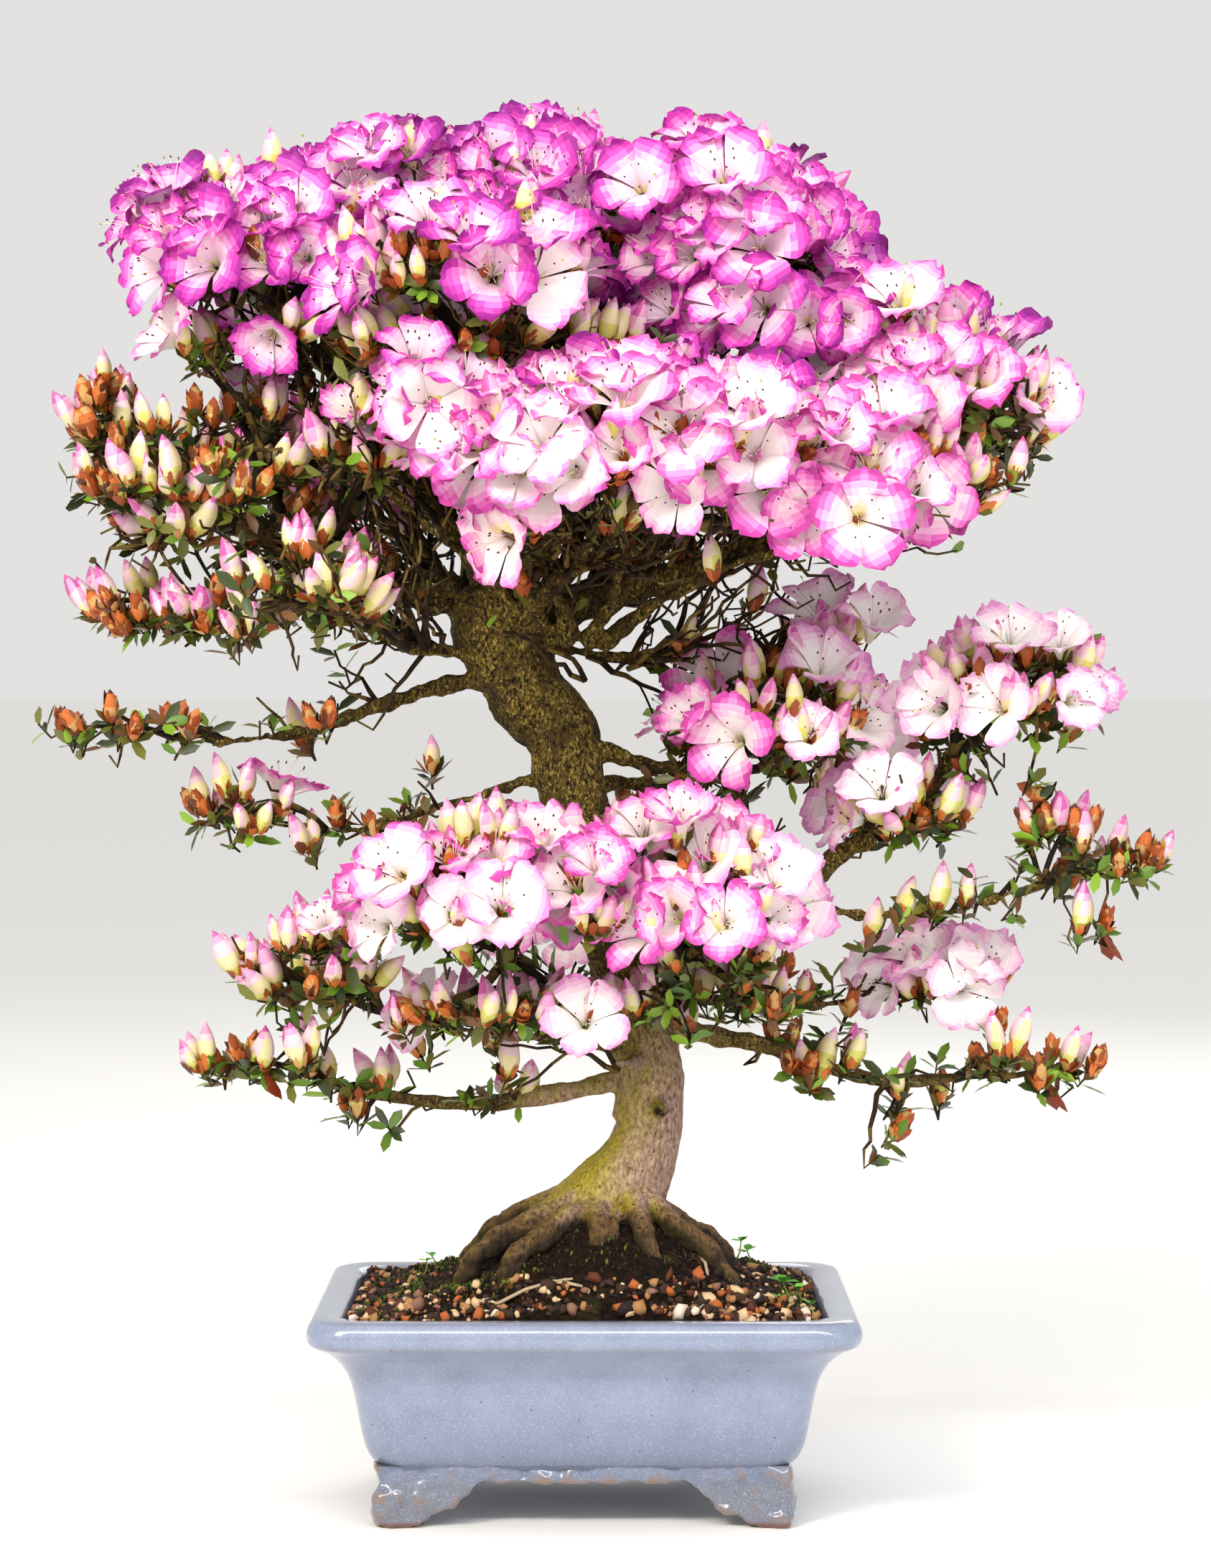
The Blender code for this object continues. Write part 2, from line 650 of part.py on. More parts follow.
def spray_sites(name, count, outward):
    """Where the sprays of a mass end and which way they face, even for any count."""
    centre, half = LIMBS[name][3:5]
    dice = random.Random(name)
    sites = []
    for index in range(40 * count):
        height = DOME_LOW + (1 - DOME_LOW) * halves(index)
        round_ = math.sqrt(1 - height * height)
        turn = index * GOLDEN_ANGLE
        facing = Vector((round_ * math.cos(turn), round_ * math.sin(turn), height))
        depth = dice.uniform(*SITE_DEPTHS)
        if index == 0:
            facing, depth = outward, 1.0
        place = Vector([centre[i] + facing[i] * half[i] * depth for i in range(3)]) * MM
        out = Vector([facing[i] / half[i] for i in range(3)]).normalized()
        jolt = Vector([dice.uniform(-AIM_JOLT, AIM_JOLT) for _ in range(3)])
        aim = (out + Vector((0, 0, LIGHT_LIFT)) + jolt).normalized()
        chance = dice.random()
        if any(level(place, LIMBS[other]) < SITE_CLEAR for other in LIMBS if other != name):
            continue
        sites.append((place, aim, chance))
        if len(sites) == count:
            break
    return sites


def split(sites):
    """Two groups of sprays, parted across the way in which they lie widest apart."""
    spans = [max(s[0][i] for s in sites) - min(s[0][i] for s in sites) for i in range(3)]
    widest = spans.index(max(spans))
    ordered = sorted(sites, key=lambda s: s[0][widest])
    return ordered[: len(ordered) // 2], ordered[len(ordered) // 2 :]


def grow(node, sites, reach_node, end_spray):
    """Twigs from a node to every site: each fork is part-way to its group's middle."""
    if len(sites) == 1:
        end_spray(node, sites[0])
        return
    for group in split(sites):
        if len(group) == 1:
            end_spray(node, group[0])
            continue
        middle = sum((s[0] for s in group), Vector()) / len(group)
        place = node.place.lerp(middle, FORK_SHARE)
        place.z -= FORK_SAG * (place - node.place).length
        child = reach_node(node, place, TWIG_RADIUS * len(group) ** PIPE_POWER)
        if child:
            grow(child, group, reach_node, end_spray)


def chains(first):
    """The twigs as unbroken runs: at each fork the thickest child goes on with the run."""
    runs = []
    waiting = [(None, first)]
    while waiting:
        parent, node = waiting.pop()
        run = [parent] if parent else []
        while node:
            run.append(node)
            ordered = sorted(node.children, key=lambda child: -child.radius)
            waiting += [(node, child) for child in ordered[1:]]
            node = ordered[0] if ordered else None
        runs.append(run)
    return runs


class Mass:
    """The pieces of one mass, each kept only where it stays in its space and clear."""

    def __init__(self, name, limbs, masses):
        self.name = name
        self.limbs = limbs
        self.masses = masses
        self.margin = 1 + SPACE_MARGIN / (min(LIMBS[name][4]) * MM)
        self.dice = random.Random(name + " sprays")
        self.ends = []
        self.heads = []

    def fits(self, piece, stem=False):
        for corner in piece.corners:
            own = level(corner, LIMBS[self.name])
            others = [level(corner, LIMBS[o]) for o in LIMBS if o != self.name]
            if not stem and (own > self.margin or min(others) < own):
                return False
            if any(tree.find_nearest(corner, NEAREST)[0] for tree in self.limbs):
                return False
        tree = piece.tree()
        return not any(tree.overlap(other) for other in self.limbs + self.masses)

    def free(self, piece):
        """A head or leaf fits where it also crosses no other head of its own mass."""
        if not self.fits(piece) or any(piece.tree().overlap(head) for head in self.heads):
            return False
        self.heads.append(piece.tree())
        return True

    def reach_node(self, parent, place, radius):
        if not self.fits(twig([parent.place, place], [parent.radius, radius])):
            return None
        child = Node(place, radius)
        parent.children.append(child)
        return child

    def end_spray(self, parent, site):
        """A twig to a short shoot, with blossom or a bud at its end and leaves beside it."""
        place, aim, chance = site
        flowering = chance < LIMBS[self.name][6]
        root = place - aim * (BLOSSOM_DEPTH if flowering else BUD_LENGTH)
        shoot = self.reach_node(parent, root - aim * SHOOT_LENGTH, TWIG_RADIUS)
        if not shoot:
            return
        end = self.reach_node(shoot, root, TWIG_RADIUS * 0.9)
        if not end:
            return
        side, _ = across(aim)
        round_rim = petal_rim(root, aim, side, 0, even=True)
        ring = list(range(len(round_rim)))
        middle = Node(root + aim * BUD_LENGTH * 0.45, BUD_WIDTH / 2)
        tip = Node(root + aim * BUD_LENGTH, TWIG_RADIUS * 0.5)
        bud = [end, middle, tip]
        if flowering and self.free(Piece(round_rim + [root], bridge(ring, [10]))):
            end.in_flower = True
        elif self.free(twig([n.place for n in bud], [n.radius for n in bud])):
            end.children.append(middle)
            middle.children.append(tip)
        if not end.in_flower or len(self.heads) % 3 == 0:
            self.add_leaf(shoot.place, aim)

    def add_leaf(self, foot, axis):
        side, other = across(axis)
        angle = self.dice.uniform(0, 2 * math.pi)
        out = side * math.cos(angle) + other * math.sin(angle)
        lean = (out + axis * self.dice.uniform(0.3, 0.9)).normalized()
        seat = foot + axis * LEAF_SEAT
        leaf = leaf_shape(seat - lean * LEAF_SUNK, seat + lean * LEAF_LENGTH, axis)
        if self.free(leaf):
            self.ends.append(leaf)


def make_mass(name, collection, materials, limbs, masses):
    """One mass: a stem on its bough's tip, twigs by the growing rule, leaves and blossom."""
    count, in_flower = LIMBS[name][5:]
    path = bough_path(name)
    along = (path[-1] - path[-2]).normalized()
    stem_radius = bough_radii(name, len(path))[-1]
    growth = Mass(name, limbs, masses)
    stem = Node(path[-1] + along * CLEARANCE, stem_radius)
    top = Node(stem.place + along * max(8 * MM, 3 * stem_radius), stem_radius * 0.9)
    stem.children.append(top)
    outward = (Vector(LIMBS[name][3]) * MM - stem.place).normalized()
    grow(top, spray_sites(name, count, outward), growth.reach_node, growth.end_spray)
    for tried in range(TRIES):
        mass = fuse_pieces(stem, growth, collection)
        if mass:
            break
        if tried > 1:
            growth.ends.pop()
    mass.name = "mass_" + name
    mass.data.materials.clear()
    mass.data.materials.append(materials["blossom" if in_flower > 0.35 else "buds"])
    masses.append(tree_of(mass))


def fuse_pieces(stem, growth, collection):
    """The twigs and leaves joined by one union, or nothing if two skins share an edge."""
    pieces = []
    for run in chains(stem):
        places = [node.place for node in run]
        radii = [node.radius for node in run]
        if run[0] is not stem:
            radii[0] = min(radii[1], SUNK_FOOT * radii[0])
        pieces.append(twig(places, radii, growth.dice.uniform(0, 2), run[-1].in_flower))
    loose = new_collection("pieces")
    made = []
    for piece in pieces + growth.ends:
        mesh = bpy.data.meshes.new("piece")
        mesh.from_pydata(piece.corners, [], piece.faces)
        made.append(bpy.data.objects.new("piece", mesh))
    mass = made[0]
    collection.objects.link(mass)
    for thing in made[1:]:
        loose.objects.link(thing)
    if join(mass, loose):
        return mass
    bpy.data.objects.remove(mass)
    return None


def centre_on_origin(collection):
    """Moves everything so that the whole object's box stands over the origin."""
    low = Vector((1, 1, 1)) * 1e9
    high = -low
    for thing in collection.objects:
        for vertex in thing.data.vertices:
            for i in range(3):
                low[i] = min(low[i], vertex.co[i])
                high[i] = max(high[i], vertex.co[i])
    root = bpy.data.objects.new("azalea_bonsai_root", None)
    collection.objects.link(root)
    for thing in collection.objects:
        if thing is not root:
            thing.parent = root
    root.location = (-(low.x + high.x) / 2, -(low.y + high.y) / 2, -low.z)


def main():
    clear_scene()
    materials = {name: new_material(name) for name in MATERIALS}
    tree = new_collection("azalea_bonsai")
    cutters = new_collection("cutters")
    make_pot(tree, materials["pot_glaze"])
    make_soil(tree, materials["soil"])
    trunk = make_trunk("trunk", tree, materials["bark"])
    make_boughs(tree, cutters, materials["bark"])
    for thing in list(cutters.objects):
        bpy.data.objects.remove(thing)
    bpy.data.collections.remove(cutters)
    limbs = [tree_of(trunk)] + [tree_of(tree.objects["bough_" + name]) for name in LIMBS]
    masses = []
    for name in LIMBS:
        make_mass(name, tree, materials, limbs, masses)
    centre_on_origin(tree)


if __name__ == "__main__":
    main()
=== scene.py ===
# %% [markdown]
# An azalea bonsai in flower
#
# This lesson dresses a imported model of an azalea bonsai. The frame holds its pot, soil, trunk,
# boughs and one plain mass of twigs on each bough. Pot, earth and bark are modelled with
# Blender's own operators. Twigs, leaves, buds and flowers number in the thousands, so they are
# worked out as arrays and joined, each kind apart, into a few meshes.

# %% Load the frame
import json
import math
import random

import bpy
import numpy as np
from mathutils import Matrix, Vector, noise
from mathutils.bvhtree import BVHTree

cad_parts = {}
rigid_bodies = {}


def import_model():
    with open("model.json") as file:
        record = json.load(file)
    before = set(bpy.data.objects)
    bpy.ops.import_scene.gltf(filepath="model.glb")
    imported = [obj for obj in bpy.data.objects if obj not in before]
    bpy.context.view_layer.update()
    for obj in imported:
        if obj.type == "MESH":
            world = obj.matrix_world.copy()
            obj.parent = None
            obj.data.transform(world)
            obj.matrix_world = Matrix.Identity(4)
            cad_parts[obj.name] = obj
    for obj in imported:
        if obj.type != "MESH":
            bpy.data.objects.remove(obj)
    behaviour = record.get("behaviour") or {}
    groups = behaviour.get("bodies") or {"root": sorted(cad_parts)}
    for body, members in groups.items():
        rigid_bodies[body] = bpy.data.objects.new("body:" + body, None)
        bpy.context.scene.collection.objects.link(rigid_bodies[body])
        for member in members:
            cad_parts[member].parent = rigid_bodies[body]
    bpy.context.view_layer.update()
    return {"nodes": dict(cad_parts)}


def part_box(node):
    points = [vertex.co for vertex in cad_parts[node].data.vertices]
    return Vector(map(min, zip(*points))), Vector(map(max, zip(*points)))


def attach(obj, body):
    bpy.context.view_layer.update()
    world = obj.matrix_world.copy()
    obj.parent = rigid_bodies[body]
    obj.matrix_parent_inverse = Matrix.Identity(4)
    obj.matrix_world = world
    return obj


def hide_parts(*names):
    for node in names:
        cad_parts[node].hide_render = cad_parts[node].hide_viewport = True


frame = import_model()

# %% Where the plant stands
MM = 0.001
pot_low, pot_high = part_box("pot")
MIDDLE = Vector(((pot_low.x + pot_high.x) / 2, (pot_low.y + pot_high.y) / 2, 0))
POT_HALF_X = (pot_high.x - pot_low.x) / 2
POT_HALF_Y = (pot_high.y - pot_low.y) / 2
print("the pot stands", [round(value / MM, 1) for value in MIDDLE[:2]], "mm off the frame's middle")

# %% [markdown]
# The camera stands where the photographer's did: 2 m in front of the pot, a little above the
# soil, with an 88 mm lens that looks down by less than two degrees. The image is upright, so the
# lens is set for its long side.

# %% Camera
VIEW_DISTANCE = 2.0
VIEW_HEIGHT = 0.43
VIEW_ASIDE = 10.6 * MM
VIEW_PITCH = 1.55  # degrees down
LENS = 87.86  # mm


def in_scene(name, data):
    """A new object in the scene, made of the data of a camera, a lamp, a curve or a mesh."""
    made = bpy.data.objects.new(name, data)
    bpy.context.scene.collection.objects.link(made)
    return made


camera_data = bpy.data.cameras.new("camera")
camera_data.sensor_fit = "VERTICAL"
camera_data.sensor_height = 36
camera_data.lens = LENS
camera = in_scene("camera", camera_data)
camera.location = MIDDLE + Vector((VIEW_ASIDE, -VIEW_DISTANCE, VIEW_HEIGHT))
camera.rotation_euler = (math.radians(90 - VIEW_PITCH), 0, 0)
bpy.context.scene.camera = camera
print("camera at", [round(value, 3) for value in camera.location])

# %% [markdown]
# Colours are written as hex values, as a paint chart gives them. Blender's shaders work in
# linear light, so one function turns a hex value to linear. One more adds a node of any kind.
# A finish is then painted as on a real pot or a scale model: a base colour, and over it coats,
# each of which covers as much as height, noise or the way the surface faces says.


# %% Colours and nodes
def linear(colour):
    """A hex colour as linear red, green, blue and alpha."""
    parts = [int(colour[i : i + 2], 16) / 255 for i in (1, 3, 5)]
    return [p / 12.92 if p <= 0.04045 else ((p + 0.055) / 1.055) ** 2.4 for p in parts] + [1.0]


def new_material(name, colour, roughness, **sockets):
    """A Principled material; a socket's name is given with _ for each space."""
    made = bpy.data.materials.new(name)
    made.use_nodes = True
    shader = made.node_tree.nodes["Principled BSDF"]
    shader.inputs["Base Color"].default_value = linear(colour)
    shader.inputs["Roughness"].default_value = roughness
    for socket, value in sockets.items():
        shader.inputs[socket.replace("_", " ")].default_value = value
    return made


def add_node(material, kind, inputs=(), **settings):
    """A new node's outputs. Its inputs are given in their own order, or by name or number.

    Each is a value, a hex colour or the output of another node.
    """
    node = material.node_tree.nodes.new("ShaderNode" + kind)
    for name, value in settings.items():
        setattr(node, name, value)
    for name, value in inputs.items() if isinstance(inputs, dict) else enumerate(inputs):
        if isinstance(value, bpy.types.NodeSocket):
            material.node_tree.links.new(value, node.inputs[name])
        else:
            node.inputs[name].default_value = linear(value) if isinstance(value, str) else value
    return node.outputs


# %% Coats of colour
def cover(material, ways):
    """A share from 0 to 1: each way leads a value from a start to an end, and all are multiplied."""
    share = None
    for way in ways:
        led = add_node(material, "MapRange", way)[0]
        share = led if share is None else add_node(material, "Math", [share, led], operation="MULTIPLY")[0]
    return share


def coated(material, surface, *coats):
    """A colour under coats, each given as its colour and the ways that it follows."""
    for colour, *ways in coats:
        inputs = {0: cover(material, ways), 6: surface, 7: colour}
        surface = add_node(material, "Mix", inputs, data_type="RGBA")[2]
    return surface


def into_shader(material, surface, height, strength, depth):
    """Gives the shader a surface's colour, and a height as bumps of a depth."""
    shader = material.node_tree.nodes["Principled BSDF"]
    inputs = {"Strength": strength, "Distance": depth, "Height": height}
    bumps = add_node(material, "Bump", inputs)["Normal"]
    material.node_tree.links.new(surface, shader.inputs["Base Color"])
    material.node_tree.links.new(bumps, shader.inputs["Normal"])
    print(material.name, "has", len(material.node_tree.nodes), "nodes")


# %% [markdown]
# A small studio: a pale floor, a soft lamp high on the left, a long strip in front, a weaker
# lamp on the right and one behind, and a pale world that fills the shadows.

# %% Studio
FLOOR_SIZE = 160.0
LAMP_AIM = Vector((0, 0, 0.42))  # the middle of the crown

bpy.ops.mesh.primitive_plane_add(size=FLOOR_SIZE, location=(0, 3, 0))
floor = bpy.context.object
floor.name = "floor"
floor.data.materials.append(new_material("matt_paper", "#faf9f7", 0.8))


def add_lamp(name, place, size, power, colour):
    """A soft rectangular lamp that points at the crown."""
    lamp_data = bpy.data.lights.new(name, "AREA")
    lamp_data.shape = "RECTANGLE"
    lamp_data.size, lamp_data.size_y = size
    lamp_data.energy = power
    lamp_data.color = linear(colour)[:3]
    lamp = in_scene(name, lamp_data)
    lamp.location = place
    lamp.rotation_euler = (LAMP_AIM - Vector(place)).to_track_quat("-Z", "Y").to_euler()


add_lamp("key", (-1.3, -1.9, 1.9), (0.7, 0.7), 37, "#fff3e0")
add_lamp("strip", (0.0, -1.5, 1.45), (2.4, 0.2), 20, "#ffffff")
add_lamp("fill", (1.9, -1.5, 1.0), (1.6, 1.6), 7, "#eef3ff")
add_lamp("rim", (0.6, 2.0, 1.7), (1.4, 1.4), 14, "#ffffff")

world = bpy.data.worlds.new("studio")
bpy.context.scene.world = world
world.use_nodes = True
world.node_tree.nodes["Background"].inputs["Color"].default_value = linear("#f1f0ee")
world.node_tree.nodes["Background"].inputs["Strength"].default_value = 0.87
bpy.context.scene.view_settings.view_transform = "Standard"

# %% [markdown]
# The pot is glazed stoneware. A glaze is a thin coat of glass: it is smooth and shines, it holds
# fine white crystals and a few dark pinholes, and it runs thin over edges, where the brown clay
# shows through. It is darker towards the foot. The pattern follows Object coordinates in
# metres, so a speckle of half a millimetre is drawn about a millimetre wide to show in the
# picture.

# %% Glaze
SPECKLE, PINHOLE = 1.25 * MM, 9 * MM  # how far apart they lie
DRIFT, DIMPLE = 25 * MM, 1000 / 260 * MM  # the size of pale drifts, and of dimples in the gloss

glaze = new_material("celadon_glaze", "#8f99b4", 0.28, IOR=1.5, Coat_Weight=0.8, Coat_Roughness=0.05)
place = add_node(glaze, "TexCoord")["Object"]
height = add_node(glaze, "SeparateXYZ", [place])["Z"]
drifts, dimples = (
    add_node(glaze, "TexNoise", {"Vector": place, "Scale": 1 / size, "Detail": fine, "Roughness": rough})[0]
    for size, fine, rough in ((DRIFT, 6, 0.7), (DIMPLE, 2, 0.6))
)
speckles = add_node(glaze, "TexVoronoi", {"Vector": place, "Scale": 1 / SPECKLE})["Distance"]
pinholes = add_node(glaze, "TexVoronoi", {"Vector": place, "Scale": 1 / PINHOLE})["Distance"]
worn = add_node(glaze, "Attribute", attribute_name="thin_glaze")["Fac"]
glazed = coated(
    glaze, "#6b7792",
    ("#9ea9c4", (drifts, 0, 1)),
    ("#55617b", (height, 66 * MM, 31 * MM, 0, 0.5)),  # darker towards the foot
    ("#6d6e74", (height, 28.5 * MM, 20 * MM, 0, 0.6)),  # greyer on the feet
    ("#c3cadc", (speckles, 0.12, 0.34, 0.45, 0)),
    ("#3c3a44", (pinholes, 0.04, 0.075, 0.8, 0)),
    ("#846c5e", (worn, 0, 1)),  # clay under thin glaze
    ("#6e4030", (height, 1.5 * MM, 4 * MM, 1, 0)),  # the bare soles
)
into_shader(glaze, glazed, dimples, 0.12, 0.4 * MM)

# %% [markdown]
# The pot's wall was pressed in a mould and its lip rounded by hand. It starts as a flat plane
# whose corners are bevelled round. Extruding and resizing that face, once for each station of
# the pot's profile, draws the wall up, over the lip and down inside. Between the stations the
# profile is a smooth curve, so few numbers shape it.


# %% Selecting, and smooth curves
def only(*things):
    """Selects these objects alone, and makes the first the active one."""
    bpy.ops.object.select_all(action="DESELECT")
    for thing in things:
        thing.select_set(True)
    bpy.context.view_layer.objects.active = things[0]


def smooth_curve(stations, steps):
    """Points on a smooth line through the stations, a number of steps between each two."""
    stations = [np.array(s, float) for s in stations]
    padded = [2 * stations[0] - stations[1], *stations, 2 * stations[-1] - stations[-2]]
    points = []
    for before, here, there, after in zip(padded, padded[1:], padded[2:], padded[3:]):
        for i in range(steps):
            t = i / steps
            curve = 0.5 * (
                2 * here
                + (there - before) * t
                + (2 * before - 5 * here + 4 * there - after) * t**2
                + (3 * here - before - 3 * there + after) * t**3
            )
            points.append(curve)
    points.append(stations[-1])
    return points


# %% Pot wall
CORNER = 22 * MM
CORNER_STEPS = 10
OUTSIDE = [  # inside the lip's edge and above the table, in mm, from the underside up
    (46, 29.6), (41, 28.8), (36.2, 30.2), (31.4, 34.6), (28.2, 41.5), (26, 51), (24, 62), (21.2, 75),
    (16.5, 84.5), (10, 91), (5.2, 94), (2.2, 95.6), (0.5, 98), (0, 101.5), (0.5, 104.2), (1.8, 107),
    (3.4, 109), (5.6, 109.9), (9, 110),
]
INSIDE = [(14, 109.6), (17.5, 107.5), (19, 103), (20, 96), (24, 84)]
SHARP_EDGE = math.radians(50)  # an edge that turns more than this is shaded as an edge

bpy.ops.mesh.primitive_plane_add(size=1, location=(0, 0, 0))
wall = bpy.context.object
bpy.ops.object.mode_set(mode="EDIT")
size_x, size_y = 2 * POT_HALF_X, 2 * POT_HALF_Y
bpy.ops.transform.resize(value=(size_x, size_y, 1))
bpy.ops.mesh.bevel(offset=CORNER, segments=CORNER_STEPS, affect="VERTICES")
level = 0.0
for number, (inset, up) in enumerate(smooth_curve(OUTSIDE, 2) + smooth_curve(INSIDE, 2)):
    new_x, new_y = 2 * (POT_HALF_X - inset * MM), 2 * (POT_HALF_Y - inset * MM)
    if number:
        bpy.ops.mesh.extrude_region_move(TRANSFORM_OT_translate={"value": (0, 0, 0)})
    bpy.ops.transform.translate(value=(0, 0, up * MM - level))
    bpy.ops.transform.resize(value=(new_x / size_x, new_y / size_y, 1))
    level, size_x, size_y = up * MM, new_x, new_y
bpy.ops.mesh.select_all(action="SELECT")
bpy.ops.mesh.normals_make_consistent(inside=False)
bpy.ops.object.mode_set(mode="OBJECT")
wall.location = MIDDLE
only(wall)
bpy.ops.object.transform_apply(location=True, rotation=True, scale=True)
bpy.ops.object.shade_smooth_by_angle(angle=SHARP_EDGE)
print("pot wall", len(wall.data.polygons), "faces")

# %% [markdown]
# The feet are cloud feet: each corner has two plates whose inner edge climbs to the apron in
# scallops, and the glaze has pooled over them in lumps. Each plate is a flat curve with
# thickness and round edges. The plates, the apron and a bulge at each corner are remeshed as
# one skin and smoothed, which is how a thick glaze rounds what lies under it.

# %% Remeshing, joining and cutting
def apply_modifier(thing, kind, **settings):
    only(thing)
    step = thing.modifiers.new("step", kind)
    for name, value in settings.items():
        setattr(step, name, value)
    bpy.ops.object.modifier_apply(modifier=step.name)


def voxel_remesh(thing, size):
    """Skins joined or crossing shapes over as one, in even faces of the given size."""
    only(thing)
    thing.data.remesh_voxel_size = size
    bpy.ops.object.voxel_remesh()


def join_all(things, name):
    only(*things)
    bpy.ops.object.join()
    joined = bpy.context.object
    joined.name = name
    bpy.ops.object.transform_apply(location=True, rotation=True, scale=True)
    return joined


def cut_level(thing, **cuts):
    """Cuts a closed shape at heights and caps it; what lies below, or above, is cleared away."""
    only(thing)
    bpy.ops.object.mode_set(mode="EDIT")
    for cleared, height in cuts.items():
        side = {"clear_inner" if cleared == "below" else "clear_outer": True}
        bpy.ops.mesh.select_all(action="SELECT")
        bpy.ops.mesh.bisect(plane_co=(0, 0, height), plane_no=(0, 0, 1), use_fill=True, **side)
    bpy.ops.object.mode_set(mode="OBJECT")


# %% Curves made solid
def drawn_curve(name, points, matrix, closed=False, **settings):
    """A curve through points, each given with its radius, made a mesh."""
    curve = bpy.data.curves.new(name, "CURVE")
    for setting, value in settings.items():
        setattr(curve, setting, value)
    spline = curve.splines.new("POLY")
    spline.points.add(len(points) - 1)
    for point, (*place, radius) in zip(spline.points, points):
        point.co, point.radius = (*place, 1), radius
    spline.use_cyclic_u = closed
    drawn = in_scene(name, curve)
    drawn.matrix_world = matrix
    only(drawn)
    bpy.ops.object.convert(target="MESH")
    return bpy.context.object


# %% A foot's plate
FOOT_THICKNESS = 13 * MM
FOOT_ROUND = 2.2 * MM
FOOT_OUTLINE = [  # mm from the corner along the pot, and up from the table
    (0.5, 0.8), (3, 0), (16, 0), (21, 1.2), (24.5, 4.2), (27, 7.2), (33, 8), (38, 10.2), (42, 14),
    (46, 15.8), (50, 20), (56, 24.5), (60, 33), (4, 33), (3, 26), (-0.5, 20), (-2, 15), (-1, 11), (-2.4, 7),
]
FOOT_TIP = 14  # mm: only what lies further along is shortened on the pot's short sides


def foot_plate(length_share, turn):
    """One scalloped plate, drawn flat, stood up in the XZ plane and placed by a matrix."""
    upright = Matrix.Translation((0, FOOT_THICKNESS / 2, 0)) @ Matrix.Rotation(math.pi / 2, 4, "X")
    points = [(x * MM * (length_share if x > FOOT_TIP else 1), up * MM, 0, 1) for x, up in FOOT_OUTLINE]
    return drawn_curve(
        "foot", points, turn @ upright, closed=True, dimensions="2D", fill_mode="BOTH",
        extrude=FOOT_THICKNESS / 2 - FOOT_ROUND, bevel_depth=FOOT_ROUND, bevel_resolution=2,
        offset=-FOOT_ROUND,
    )


# %% Pot feet
FOOT_SET_BACK = 35 * MM
SIDE_SHARE = 0.72  # a plate's length on the short sides for 1 on the long ones
SWAP = Matrix(((0, 1, 0, 0), (1, 0, 0, 0), (0, 0, 1, 0), (0, 0, 0, 1)))  # X and Y change places
BULGE, BULGE_IN, BULGE_UP = 8.8 * MM, 6 * MM, 9 * MM  # its radius, and its middle from the corner
APRON_MIDDLE, APRON_HEIGHT = 28.3 * MM, 9.6 * MM
LUMP_SIZE, LUMP_DEPTH = 13 * MM, 9 * MM

half_x = POT_HALF_X - FOOT_SET_BACK
half_y = POT_HALF_Y - FOOT_SET_BACK
foot_parts = []
for side_x in (-1, 1):
    for side_y in (-1, 1):
        corner = Matrix.Translation(MIDDLE + Vector((side_x * half_x, side_y * half_y, 0)))
        along = corner @ Matrix.Diagonal((-side_x, -side_y, 1, 1))
        foot_parts.append(foot_plate(1, along))
        foot_parts.append(foot_plate(SIDE_SHARE, along @ SWAP))
        centre = MIDDLE + Vector((side_x * (half_x - BULGE_IN), side_y * (half_y - BULGE_IN), BULGE_UP))
        bpy.ops.mesh.primitive_uv_sphere_add(segments=20, ring_count=12, radius=BULGE, location=centre)
        foot_parts.append(bpy.context.object)
bpy.ops.mesh.primitive_cube_add(size=1, location=MIDDLE + Vector((0, 0, APRON_MIDDLE)))
apron = bpy.context.object
apron.scale = (2 * half_x, 2 * half_y, APRON_HEIGHT)
foot_parts.append(apron)
feet = join_all(foot_parts, "pot_feet")
voxel_remesh(feet, 1.1 * MM)
apply_modifier(feet, "SMOOTH", factor=0.7, iterations=4)
lumps = bpy.data.textures.new("lumps", "CLOUDS")
lumps.noise_scale = LUMP_SIZE
apply_modifier(feet, "DISPLACE", texture=lumps, strength=LUMP_DEPTH, mid_level=0.5, texture_coords="LOCAL")
apply_modifier(feet, "SMOOTH", factor=0.6, iterations=3)
cut_level(feet, below=0.2 * MM, above=32 * MM)
bpy.ops.object.shade_smooth_by_angle(angle=SHARP_EDGE)
print("feet and apron", len(feet.data.polygons), "faces")

# %% [markdown]
# On every edge that stands out the glaze has run thin. How far a point of the feet stands out is
# measured against its smoothed neighbours. The wall's edges lie in rings, so there a list of
# rings does. Both are kept as a value on each point, which the glaze reads.


# %% How far points stand out
def points_of(mesh):
    return np.array([v.co[:] for v in mesh.vertices])


def standing_out(mesh, rounds, low, high):
    """How far each point stands out from its neighbours, as a share of the way from low to high mm."""
    places = points_of(mesh)
    normals = np.array([v.normal for v in mesh.vertices])
    edges = np.array([edge.vertices[:] for edge in mesh.edges])
    smoothed = places
    for _ in range(rounds):
        total, number = np.zeros_like(places), np.zeros((len(places), 1))
        for one, other in ((0, 1), (1, 0)):
            np.add.at(total, edges[:, one], smoothed[edges[:, other]])
            np.add.at(number, edges[:, one], 1)
        smoothed = total / np.maximum(number, 1)
    proud = ((places - smoothed) * normals).sum(axis=1) / MM
    return np.clip((proud - low) / (high - low), 0, 1)


# %% Thin glaze on edges
WORN_RINGS = [  # mm above the table, half width in mm, how worn, and whether only inside the pot
    (96.0, 1.6, 0.55, False), (109.2, 1.0, 0.35, False), (107.0, 1.4, 0.6, True), (30.0, 1.8, 0.5, False),
]
LIP_WIDTH = 12 * MM
WORN_PATCH = 14 * MM


